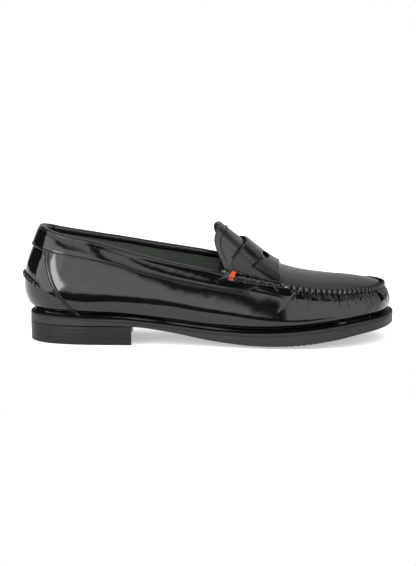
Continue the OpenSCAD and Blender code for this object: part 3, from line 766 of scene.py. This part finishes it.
def make_collar():
    t = graded(2, 0.0022, fine=(0, 0.0006, 0.0015, 0.003))
    t = ((t * 2 - 1) * COLLAR_END)[:, None]
    low = collar_bottom(t)
    high = 0.985 - 0.095 * ease((fold(t) - 5.95) / 0.15)
    share = graded(20, 0.8, fine=(0, 0.1, 0.22, 0.4, 0.62, 0.9, 1.15, 1.4, 1.7))
    v = low + (high - low) * share
    t = t * np.ones_like(v)
    flat = wall(t, v, 0)
    up = np.cumsum(np.linalg.norm(np.diff(flat, axis=1), axis=-1), 1)
    up = np.concatenate([np.zeros((len(t), 1)), up], 1)
    out = 1.3 - rounding(up, 0.7, 0.75) - 0.34 * bump_at(up - 1.5, 0.42)
    out -= 0.35 * ease(1 - (up[:, -1:] - up) / 3.5)
    out += 0.05 * waves(flat, 34, 4, stretch=(2, 1, 1)) + 0.006 * waves(flat, 9, 5)
    hidden = (v < TUCK_V + 0.012) | (fold(t) > 6.5)
    points, faces = slab(wall(t, v, out), wall(t, v, np.where(hidden, 0.3, -LEATHER_T)))
    put("collar_leather", points, faces, upper_leather, "black_leather", ["collar_band"])
    t = np.linspace(-6.6, 6.6, 3000)
    low = collar_bottom(t)
    height = np.linalg.norm(wall(t, low + 0.02, 0) - wall(t, low, 0), axis=-1) / 0.02
    rows = [wall_stitches(t, low + 1.5 / height, 1.08, 2.3, 0.33)]
    for side in (-1, 1):
        for start, end, up, out in ((6.62, 6.93, 0.0375, 1.1), (6.5, 6.86, 0.1, 1.25)):
            t = side * np.linspace(start, end, 60)
            rows.append(wall_stitches(t, collar_bottom(t) + up, out, 2.1, 0.33))
    sew("collar_thread", rows, "collar_stitches")


make_collar()


def make_binding():
    t = np.linspace(-6.3, 6.3, 430)
    depth = LEATHER_T + STIFFENER_T + LINING_T + 0.9
    top, foot = wall(t, 0.995, 0), wall(t, 0.965, -depth)
    base = ring_at(t)[:, 2:7]
    here = level_curve(base, np.full(t.shape, 0.995))
    foot_n = level_curve(base, np.full(t.shape, 0.965)) - depth
    outside = ((0.35, -1.6), (0.72, -1.0), (0.86, -0.3), (0.78, 0.35), (0.45, 0.95), (-0.1, 1.4),
               (-0.9, 1.65), (-1.9, 1.72), (-2.9, 1.6), (-3.7, 1.2), (-4.25, 0.6), (-4.5, -0.1))
    at_foot = ((-0.5, 0.4), (-0.45, 0.1), (0.1, 0))
    inside = ((-3.4, -0.9), (-0.6, -1.5))
    rings = [at_edge(t, here + n, top[:, 2] + z) for n, z in outside]
    rings += [at_edge(t, foot_n + n, foot[:, 2] + z) for n, z in at_foot]
    rings += [at_edge(t, here + n, top[:, 2] + z) for n, z in inside]
    rings = np.stack(rings, 1)
    rings += 0.04 * waves(rings, 9, 6)[..., None] * (0, 0, 1)
    put("topline_leather", *loft(rings), edge_leather, "binding_leather", ["topline_binding"])


make_binding()

# ---------- apron and strap

def at_share(s, front, rear):
    return front + (rear - front) * s ** 1.3


EDGE_PAST_SEAM = np.array([[3.25, -0.4], [4.6, -1.2], [4.9, -0.8]])
EDGE_TURNING = np.array([[2.9, 0.2], [2.7, -1.5], [3.4, -1.6]])
EDGE_UPRIGHT = np.array([[3.4, RIDGE - 0.15], [1.8, RIDGE - 0.15], [1.8, -1.6]])
LIP_STEPS = (0.35, 0.7, 0.93)


def apron_edge(i, corner):
    """The apron's edge at i as [inwards, up]: its outer tip (0), inner tip (1) or inner corner (2)."""
    g = (2 * ease((TOE - SEAM_FROM - i) / 0.4 + 1))[..., None]
    a = np.where(g < 1, EDGE_PAST_SEAM[corner], EDGE_TURNING[corner])
    b = np.where(g < 1, EDGE_TURNING[corner], EDGE_UPRIGHT[corner])
    return a + (b - a) * np.where(g < 1, g, g - 1)


def make_apron():
    x = np.linspace(-1, 1, 91)
    w = np.sign(x) * (1 - (1 - np.abs(x)) ** 1.45)
    s = graded(140, 1.0)[:, None]
    i = at_share(s, 0.3, tongue_i(w)[None, :])
    flat = apron(i, w, 0)
    to_end = border(flat, cols=False)
    out = 0.05 * waves(flat, 30, 7) - rounding(to_end, 0.5, 0.4)
    from_side = np.abs(np.abs(w) - 1) * 38
    t = TOE + np.sign(w) * i
    out -= 0.3 * np.exp(-from_side / 2.2) * stitch_pinch(t, 1.2) * in_seam(t)
    outer, inner = apron(i, w, out), apron(i, w, -LEATHER_T + 0.8 * ease(1 - to_end / 5))
    lips_out, lips_in = [], []
    for side, end in ((-1, 0), (1, -1)):
        at = i[:, end]
        t = TOE + side * at
        corner = over_rim(t, *apron_edge(at, 2).T)
        tip_out, tip_in = apron_edge(at, 0), apron_edge(at, 1)
        pinch = stitch_pinch(t) * in_seam(t)
        tip_out[:, 1] -= 0.55 * pinch
        tip_in[:, 1] -= 0.55 * pinch
        tip_out[:, 0] -= 0.3 * pinch
        inner[:, end] = corner
        near = [tip_out * f + (1 - f) * np.array([3.5, 0]) for f in LIP_STEPS]
        near.append(tip_out * 0.7 + tip_in * 0.3 + (0, 0.14))
        lips_out.append([over_rim(t, *place.T) for place in near])
        far = [corner * (1 - f) + over_rim(t, *tip_in.T) * f for f in LIP_STEPS]
        far.append(over_rim(t, *(tip_out * 0.3 + tip_in * 0.7 + (0, 0.14)).T))
        lips_in.append(far)
    first, last = np.stack(lips_out[0][::-1], 1), np.stack(lips_out[1], 1)
    below_first, below_last = np.stack(lips_in[0][::-1], 1), np.stack(lips_in[1], 1)
    points, faces = slab(np.concatenate([first, outer, last], 1),
                         np.concatenate([below_first, inner, below_last], 1))
    put("apron_leather_piece", points, faces, apron_leather, "black_leather", ["apron"])
    w = np.linspace(-0.93, 0.93, 1500)
    i = tongue_i(w) - 0.13
    k = even(apron(i, w, 0), 1.6)
    i, w = (np.interp(k, np.arange(1500), a) for a in (i, w))
    p = apron(i, w, 0.02)
    sew("tongue_thread", [stitch_line(p, apron(i, w, 1.02) - p, 0.34, 0.66)], "tongue_stitches")


make_apron()


# Dark matte beads along the strap's edges, partly the strap's dark cut edge and partly painted shade for the
# shadowed gap beside it: line, shift along the shoe, half length, height, rise, radius.
STRAP_EDGE_AND_SHADE_BEADS = ((0, 0.022, 0.86, 0.9, 0.9, 0.5), (1, -0.004, 0.8, 1.3, 0.8, 0.42),
              (2, 0.004, 0.8, 1.3, 0.8, 0.42))
STRAP_T = 1.8


def strap_lines(w):
    """The strap's rear edge, both sides of its slot and its front edge, as places along the apron."""
    slit = 4.9 + 0.42 * w * w
    gap = 0.012 + 0.075 * np.maximum(1 - (w / 0.36) ** 2, 0) ** 0.8
    return 5.37 + 0.36 * w * w, slit + gap, slit - gap, 4.54 - 0.05 * w * w


def strap_arch(w):
    return np.maximum(1 - 1.2 * w ** 2, 0)


def make_strap():
    end = np.array([0.875, 0.9, 0.93, 0.96, 0.985])
    w = np.concatenate([-end[::-1], np.linspace(-0.86, 0.86, 121), end])
    rear, slit_rear, slit_front, front = strap_lines(w)
    share = graded(11, 0.8, fine=(0, 0.06, 0.16, 0.3, 0.5, 0.75, 1.1, 1.5))
    one = rear[:, None] + (slit_rear - rear)[:, None] * share
    two = slit_front[:, None] + (front - slit_front)[:, None] * share
    i = np.concatenate([one, two], 1)
    n = len(share)
    ww = w[:, None] * np.ones_like(i)
    lift = GAP + 0.2 + strap_arch(ww) * np.where(np.arange(2 * n) < n, 1.3, 0.7)
    flat = apron(i, ww, lift)
    edge = np.concatenate([border(flat[:, :n], rows=False), border(flat[:, n:], rows=False)], 1)
    slit_side = (np.abs(np.arange(2 * n) - n + 0.5) < n / 2) & (np.abs(ww) > 0.87)
    edge = np.where(slit_side, 1e3, edge)
    out = STRAP_T - rounding(edge, 1.15, 1.15) + 0.05 * waves(flat, 16, 8)
    hole = np.zeros((len(w) - 1, 2 * n - 1), bool)
    hole[4:-4, n - 1] = True     # the slot, open except at the ends, where the halves join
    points, faces = slab(apron(i, ww, lift + out), apron(i, ww, lift + 0.15 * (edge < 0.2)), hole=hole)
    put("strap_leather", points, faces, strap_leather, "black_leather", ["saddle_strap"])
    # Dark matte tubes on the strap's edges: its dark cut edge, with painted shade for the gap beside it.
    rims = []
    for line, shift, half, low, rise, radius in STRAP_EDGE_AND_SHADE_BEADS:
        w = np.linspace(-half, half, 160)
        rims.append(tube(apron(strap_lines(w)[line] + shift, w, low + rise * strap_arch(w)), radius, 6))
    put("strap_cut_edges_and_painted_shade", *joined(rims), black_thread, "black_leather")


make_strap()


def make_hand_stitches():
    parts = []
    g = np.random.default_rng(21)
    path = np.array([(-0.15, -CREASE - 0.1), (-0.15, 0.6), (-0.2, 1.9), (0.1, RIDGE - 0.55),
                     (0.75, RIDGE - 0.05), (1.7, RIDGE + 0.12), (2.7, RIDGE - 0.05), (3.5, RIDGE - 0.55),
                     (3.85, 1.7), (3.9, 0.5)])
    for t in HAND_T:
        lean = g.normal(0.012, 0.012)
        for twin in (-0.009, 0.009):
            at = t + twin + lean * np.linspace(-1, 1, len(path))
            parts.append(tube(over_rim(at, path[:, 0], path[:, 1]), 0.34, 6))
    sew("apron_thread", parts, "apron_stitches")


make_hand_stitches()

# ---------- beef rolls

def roll_point(side, f, p, q):
    """f runs along the roll, p out of the shoe and q up the roll's flat side."""
    t = ROLL_FROM + (ROLL_TO - ROLL_FROM) * f
    a = np.where(side < 0, t, RING - t)
    n = p * math.cos(ROLL_LEAN) - q * math.sin(ROLL_LEAN)
    z = p * math.sin(ROLL_LEAN) + q * math.cos(ROLL_LEAN)
    o = outward(a)
    return over_rim(a, -1, 0.4) + np.stack([n * o[..., 0], n * o[..., 1], z], -1)


def at_mark(f, width=0.045):
    return np.max([bump_at(f - m, width) for m in ROLL_MARKS], 0)


def roll_rope(side, f, p, q, rp, rq, n=14):
    """A rope along the roll, with its middle at p, q and its half axes rp, rq."""
    a = np.arange(n) * 2 * np.pi / n
    p, q, rp, rq = (np.broadcast_to(x, f.shape)[:, None] for x in (p, q, rp, rq))
    return loft(roll_point(side, f[:, None], p + rp * np.cos(a), q + rq * np.sin(a)))


def slim(f):
    """The roll's height gets less towards its front end."""
    return 1 - 0.34 * ease((f - 0.42) / 0.5)


def lift(f):
    return 0.9 * ease((f - 0.4) / 0.6)


def roll_wrap(side, f, slant, radius, turns, pitch, tall, dip=0.0):
    """Turns of thread round the roll at f, dipping between its ropes."""
    parts = []
    a = np.linspace(-2.35, 2.35, 26)
    q = tall * slim(f) * np.sin(a) * (1 + 0.08 * np.cos(a)) + lift(f)
    p = 0.35 + 2.25 * np.cos(a) - dip * bump_at(np.abs(a) - 0.62, 0.28)
    for turn in (np.arange(turns) - (turns - 1) / 2) * radius * pitch / 26:
        parts.append(tube(roll_point(side, f + turn + slant * q, p, q), radius, 7))
    return joined(parts)


def black_wrap(side, f):
    return roll_wrap(side, f, 0.001, 0.26, 2, 2.6, 3.2, dip=0.2)


def roll_mouth(side):
    """The roll's flared rear end, an open cone cut off at a slant."""
    a = np.linspace(0, 2 * np.pi, 41)[None, :-1]
    share = np.linspace(0, 1, 16)[:, None]
    end = 0.025 + 0.05 * np.cos(a) - 0.075 * np.maximum(-np.sin(a), 0) + 0.01 * np.maximum(np.sin(a), 0)
    f = 0.17 + (end - 0.17) * share
    flare = ease(share) ** 1.2
    layers = []
    for wall_in in (0.0, 0.7):
        p = 0.7 - 0.2 * flare + (1.5 + 1.3 * flare - wall_in) * np.cos(a)
        q = -0.7 * flare + (3.1 + 2.5 * flare - wall_in) * np.sin(a)
        layers.append(roll_point(side, f, p, q).transpose(1, 0, 2))
    return slab(*layers, closed=True)


def make_roll(side, name):
    f = np.linspace(0.1, 0.985, 150)
    tie = at_mark(f)
    core = roll_rope(side, f, -0.3, lift(f), 1.2, (3.2 - 0.35 * tie) * slim(f))
    fat = (1.0 - 0.12 * tie) * (0.45 + 0.55 * slim(f))
    tied = 0.7 * tie
    upper = roll_rope(side, f, 1.0 + 0.1 * tie, (3.75 - tied) * slim(f) + lift(f), 0.8 * fat, 0.85 * fat)
    lower = roll_rope(side, f, 1.05 + 0.1 * tie, (tied - 3.85) * slim(f) + lift(f), 0.85 * fat, 0.95 * fat)
    b = np.linspace(0.12, 0.93, 160)
    bead = at_mark(b, 0.05)
    chain = roll_rope(side, b, 0.5 + 0.8 * bead, lift(b), 0.3 + 0.85 * bead, (0.45 + 1.55 * bead) * slim(b))
    g = np.linspace(0.84, 0.97, 26)
    drop = ease((g - 0.84) / 0.13)
    tail = roll_rope(side, g, 1.0 - 0.4 * drop, -1.5 - 3.9 * drop + lift(g), 0.85 - 0.25 * drop,
                     0.95 - 0.3 * drop)
    put(name, *joined([core, upper, lower, chain, tail, roll_mouth(side)]), roll_leather, "black_leather",
        [name.replace("_leather", "")])


make_roll(-1, "beef_roll_lateral_leather")
make_roll(1, "beef_roll_medial_leather")
wraps = [black_wrap(-1, m) for m in ROLL_MARKS[1:]] + [black_wrap(1, m) for m in ROLL_MARKS]
sew("beef_roll_thread", wraps, "beef_roll_stitches")
put("orange_wrap", *roll_wrap(-1, ROLL_MARKS[0] + 0.024, 0.0052, 0.5, 3, 1.3, 3.95), orange_thread,
    "orange_thread", ["contrast_stitch"])

# ---------- heel kicker

def kicker_point(t, p, q):
    v = kicker_v(t)
    c = wall(t, v, 0)
    o = outward(t)
    return c + np.stack([p * o[..., 0], p * o[..., 1], q * np.ones_like(p)], -1)


def make_kicker():
    t = np.linspace(-KICKER_HALF, KICKER_HALF, 170)
    marks = np.linspace(-1.36, 1.36, 13)
    tie = np.max([bump_at(t - m, 0.055) for m in marks], 0)
    fat = np.sqrt(np.maximum(1 - (t / KICKER_HALF / 1.01) ** 4, 0.02))
    a = np.arange(12) * 2 * np.pi / 12
    parts = []
    for q, grow in ((1.4, 1.0), (-1.4, 1.0), (0.0, 0.6)):
        centre_q = q * (1 - 0.25 * tie) * fat
        r = (1.05 - 0.16 * tie) * fat * grow
        parts.append(loft(kicker_point(t[:, None], (0.55 + r[:, None] * 0.95 * np.cos(a)),
                                       centre_q[:, None] + r[:, None] * np.sin(a))))
    put("heel_kicker_leather", *joined(parts), roll_leather, "black_leather", ["heel_kicker"])
    threads = []
    for m in marks:
        b = np.linspace(-1.25, 1.25, 12)
        for twin in (-0.012, 0.012):
            path = kicker_point(m + twin + 0.02 * np.sin(b), 0.4 + 1.28 * np.cos(b), 2.25 * np.sin(b))
            threads.append(tube(path, 0.2, 6))
    sew("kicker_thread", threads, "kicker_stitches")


make_kicker()

# ---------- linings and footbed

LINING_OUT = -LEATHER_T - STIFFENER_T - 2 * GAP - 0.05
LINING_IN = LINING_OUT - 0.98 * LINING_T


def make_lining(name, t_from, t_to, top, cloth, slot, node, seed):
    t = np.linspace(t_from, t_to, int(abs(t_to - t_from) * 26))[:, None]
    v = 0.1 + (top(t) - 0.1) * np.linspace(0, 1, 40)
    t = t * np.ones_like(v)
    flat = wall(t, v, 0)
    ripple = 0.1 * waves(flat, 14, seed) + 0.04 * waves(flat, 3, seed + 1)
    points, faces = slab(wall(t, v, LINING_OUT), wall(t, v, LINING_IN + ripple))
    put(name, points, faces, cloth, slot, [node])


def quarter_top(t):
    return np.full(t.shape, 0.985)


def vamp_lining_top(t):
    return 0.97 - 0.15 * ease((fold(t) - 6.1) / 0.2)


for which, t_from, t_to, seed in (("lateral", 0.03, 6.1, 31), ("medial", 17.9, 23.97, 41)):
    make_lining("quarter_cloth_" + which, t_from, t_to, quarter_top, lining_cloth, "lining_textile",
                "quarter_lining_" + which, seed)
make_lining("vamp_lining_leather", 6.04, 17.96, vamp_lining_top, lining_leather, "lining_leather",
            "vamp_lining", 51)


def plate(inset, t, w, *layers):
    """A piece across the shoe at stations t and shares w of its width. Each layer is a height for
    t and w, and the radius and lift of its edge."""
    a, b = at_edge(t, -inset, 0), at_edge(RING - t, -inset, 0)
    flat = a[:, None] + (b - a)[:, None] * ((w + 1) / 2)[None, :, None]
    tt, ww = t[:, None] * np.ones_like(w), w[None, :] * np.ones((len(t), 1))
    grids = []
    for height, radius, edge_lift in layers:
        grid = flat.copy()
        grid[..., 2] = height(tt, ww) + rounding(border(flat), radius, edge_lift)
        grids.append(grid)
    return slab(*grids)


SOCK_T, PAD_T = 1.1, 2.6


def sock_bottom(t, _w):
    rise = GAP + PAD_T * (1 - ease((t - 3.7) / 1.5))
    return seat_z(t) + LEATHER_T + GAP + INSOLE_T + rise


def sock_top(t, w):
    return sock_bottom(t, w) + SOCK_T


put("sock_leather", *plate(8.8, 0.34 + 11.06 * graded(280, 1.6), graded(80, 1.6) * 2 - 1,
                           (sock_top, 0.3, -0.3), (sock_bottom, 0.3, 0.3)),
    lining_leather, "lining_leather", ["sock_lining"])

# ---------- sole and heel

def make_welt():
    t = np.linspace(0, RING, 640, endpoint=False)
    seat = seat_z(t)
    wobble = 0.03 * waves(at_edge(t, 0, seat), 6, 61)
    # The top edge is rounder at the heel.
    soft = 0.6 + 1.9 * ease((100 - ring_at(t)[:, 0]) / 60)
    shape = [(-14, 0), (-7, 0)]
    for a in np.radians((0, 20, 40, 55, 65, 75, 90)):
        shape.append((-soft * (1 - np.sin(a)), -soft * (1 - np.cos(a))))
    shape += [(0.03, np.minimum(-1.6, -soft - 0.1)), (0.03, 0.45 - WELT_T), (-0.1, 0.15 - WELT_T),
              (-0.3, 0.02 - WELT_T), (-14, -WELT_T)]
    rings = np.stack([at_edge(t, n + wobble, seat + z) for n, z in shape], 1)
    put("welt_leather_strip", *loft(rings, closed=True), welt_leather, "welt_leather", ["welt"])


make_welt()


def outsole_top(t, _w):
    return seat_z(t) - WELT_T - 0.05


put("outsole_leather", *plate(0.1, 0.06 + (TOE - 0.12) * graded(280, 1.0), graded(90, 1.8) * 2 - 1,
                              (outsole_top, 1.3, 0), (bottom_z, 1.3, 1.1)),
    sole_edge, "sole_leather", ["outsole"])


def heel_outline(inset):
    t = np.linspace(-4.3, 4.3, 700)
    back = at_edge(t, -inset, 0)[:, :2]
    back = back[back[:, 0] < HEEL_LEN]
    half = abs(back[0, 1]) - 0.5
    f = np.linspace(-1, 1, 41)
    breast = np.stack([HEEL_LEN - 3 * (1 - f * f), f * half], 1)
    return np.concatenate([back, breast])


def make_lift(name, z, thick, inset, layer, slot, node, soft=0.16):
    edge = np.array([0, 0.25, 0.6, 1, 1]) * soft
    rise = np.array([0, 0.12, 0.35, 0.7, 1]) * 2.2 * soft
    rings = []
    profile = [(soft + 1.5, 0)] + [(soft - e, r) for e, r in zip(edge, rise)]
    profile += [(soft - e, thick - r) for e, r in list(zip(edge, rise))[::-1]] + [(soft + 1.5, thick)]
    for moved_in, up in profile:
        outline = heel_outline(inset + moved_in)
        run = np.concatenate([[0], np.cumsum(np.linalg.norm(np.diff(outline, axis=0), axis=1))])
        at = np.linspace(0, run[-1], 700)
        rings.append(np.stack([*(np.interp(at, run, axis) for axis in outline.T), np.full(700, z + up)], 1))
    put(name, *loft(rings), layer, slot, [node])


LIFT_T = (HEEL_H - TOP_PIECE_T) / 3
for k in range(3):
    make_lift(f"heel_lift_{k + 1}_leather", TOP_PIECE_T + LIFT_T * (2 - k), LIFT_T - 0.02, 0.1 + 0.12 * k,
              heel_edge, "heel_stack", f"heel_lift_{k + 1}")
make_lift("heel_top_rubber", 0, TOP_PIECE_T - 0.02, 0.5, heel_rubber, "heel_rubber", "heel_top_piece", 0.3)


def make_sole_stitches():
    t = np.linspace(4.6, RING - 4.6, 4000)
    k = even(at_edge(t, -6, 0), 5)
    t = np.interp(k, np.arange(4000), t)
    p = at_edge(t, -6, bottom_z(t, 0.87) + 0.1)
    down = np.array([0, 0, -1.0]) * np.ones_like(p)
    sew("sole_thread", [stitch_line(p, down, 0.4, 0.62)], "sole_stitches")


make_sole_stitches()

# ---------- pieces inside, straight from the CAD

INSIDE = {
    "cork_filler": cork, "heel_seat_filler": cork,
    "insole": plain_material("board", (0.42, 0.3, 0.19), 0.75),
    "shank": plain_material("steel", (0.55, 0.56, 0.58), 0.35, 0.02, Metallic=1.0),
    "heel_nails": plain_material("brass_nail", (0.62, 0.47, 0.2), 0.35, 0.02, Metallic=1.0),
    "heel_pad": plain_material("foam", (0.6, 0.54, 0.44), 0.95, 0.2, 0.8),
    "toe_puff": stiffener, "heel_counter": stiffener,
    "interlining_lateral": cotton, "interlining_medial": cotton,
    "apron_lining": lining_leather,
}
for node, inside_material in INSIDE.items():
    for material_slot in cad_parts[node].material_slots:
        material_slot.material = inside_material

# ---------- studio

world = bpy.data.worlds.new("studio")
bpy.context.scene.world = world
world.use_nodes = True
world.cycles.sampling_method = "NONE"
tree = world.node_tree
rays = tree.nodes.new("ShaderNodeLightPath")
strength = tree.nodes.new("ShaderNodeMapRange")
set_inputs(strength, To_Min=0.8, To_Max=0.02)
tree.links.new(rays.outputs["Is Glossy Ray"], strength.inputs["Value"])
seen = tree.nodes.new("ShaderNodeMix")
tree.links.new(rays.outputs["Is Camera Ray"], seen.inputs["Factor"])
tree.links.new(strength.outputs["Result"], seen.inputs["A"])
set_inputs(seen, B=1.0)
tree.links.new(seen.outputs["Result"], tree.nodes["Background"].inputs["Strength"])
set_inputs(tree.nodes["Background"], Color=(1, 1, 1, 1))
bpy.context.scene.view_settings.view_transform = "Standard"

floor_mesh = bpy.data.meshes.new("floor")
floor_mesh.from_pydata([(-3, -0.1, 0), (3, -0.1, 0), (3, 1.9, 0), (-3, 1.9, 0)], [], [(0, 1, 2, 3)])
floor_mesh.materials.append(material("floor_white", grey(0.72), 0.9, Emission_Color=(1, 1, 1, 1),
                                     Emission_Strength=0.4, Specular_IOR_Level=0))
floor = bpy.data.objects.new("floor", floor_mesh)
bpy.context.scene.collection.objects.link(floor)


def softbox(name, low, high, radiance, colour, ends, roll=0):
    """A rectangular lamp whose lower corners are ends, between two heights, turned to the shoe."""
    (ax, ay), (bx, by) = ends
    width, height = math.hypot(bx - ax, by - ay), high - low
    lamp = bpy.data.lights.new(name, "AREA")
    lamp.shape = "RECTANGLE"
    lamp.size, lamp.size_y = width, height
    lamp.energy = radiance * math.pi * width * height
    lamp.color = colour
    obj = bpy.data.objects.new(name, lamp)
    centre = Vector(((ax + bx) / 2, (ay + by) / 2, (low + high) / 2))
    facing = Vector((by - ay, ax - bx, 0))
    if facing.dot(centre) > 0:
        facing.negate()
    obj.location = centre
    turned = facing.to_track_quat("-Z", "Y") @ Quaternion((0, 0, 1), math.radians(roll))
    obj.rotation_euler = turned.to_euler()
    obj.visible_camera = False
    bpy.context.scene.collection.objects.link(obj)


def bearing(angle, distance):
    """A place on the floor, at an angle from straight in front of the shoe's outer side."""
    return distance * math.sin(math.radians(angle)), -distance * math.cos(math.radians(angle))


GREENISH, PURPLISH, WHITE = (0.97, 1.0, 0.98), (1.0, 0.97, 1.03), (1, 1, 1)
softbox("left_front", -0.42, 1.0, 2.2, GREENISH, (bearing(-9.5, 1.6), bearing(-26, 1.6)))
softbox("left_side", -0.42, 1.0, 3.0, GREENISH, (bearing(-26, 1.6), bearing(-88, 1.75)))
softbox("left_high", 1.0, 3.3, 1.9, GREENISH, (bearing(-9.5, 1.6), bearing(-88, 1.75)))
softbox("left_strip", -0.42, 0.66, 8.5, GREENISH, (bearing(-29.5, 1.52), bearing(-40.5, 1.52)), 34)
softbox("right_centre", -0.5, 1.8, 1.8, PURPLISH, (bearing(-4, 1.6), bearing(8, 1.6)))
softbox("right_front", -0.5, 3.2, 1.85, PURPLISH, (bearing(8, 1.6), bearing(68, 1.7)))
softbox("right_side", -0.5, 3.2, 1.4, PURPLISH, (bearing(68, 1.7), bearing(108, 1.75)))
softbox("backdrop", 0.05, 2.1, 0.65, WHITE, (bearing(140, 2.6), bearing(220, 2.6)))
overhead = bpy.data.lights.new("overhead", "AREA")
overhead.shape, overhead.size, overhead.size_y = "RECTANGLE", 3.2, 2.2
overhead.energy = 0.55 * math.pi * overhead.size * overhead.size_y
overhead_stand = bpy.data.objects.new("overhead", overhead)
overhead_stand.location = (0, 1.1, 2.1)
overhead_stand.visible_camera = False
bpy.context.scene.collection.objects.link(overhead_stand)

# ---------- camera

VIEW_HIGH = 464.12      # height of the view at the shoe, in mm
VIEW_MIDDLE = (145.3, 45.5)
TILT = math.radians(10.5)
AWAY = 3.0
target = np.array([(HEEL_X + VIEW_MIDDLE[0]) * MM, 0, VIEW_MIDDLE[1] * MM])
camera = bpy.data.cameras.new("camera")
camera.sensor_width = 36
camera.lens = camera.sensor_width * AWAY / (VIEW_HIGH * MM)
camera.clip_end = 30
eye = bpy.data.objects.new("camera", camera)
eye.location = target + AWAY * np.array([0, -math.cos(TILT), math.sin(TILT)])
eye.rotation_euler = (math.pi / 2 - TILT, 0, 0)
bpy.context.scene.collection.objects.link(eye)
bpy.context.scene.camera = eye
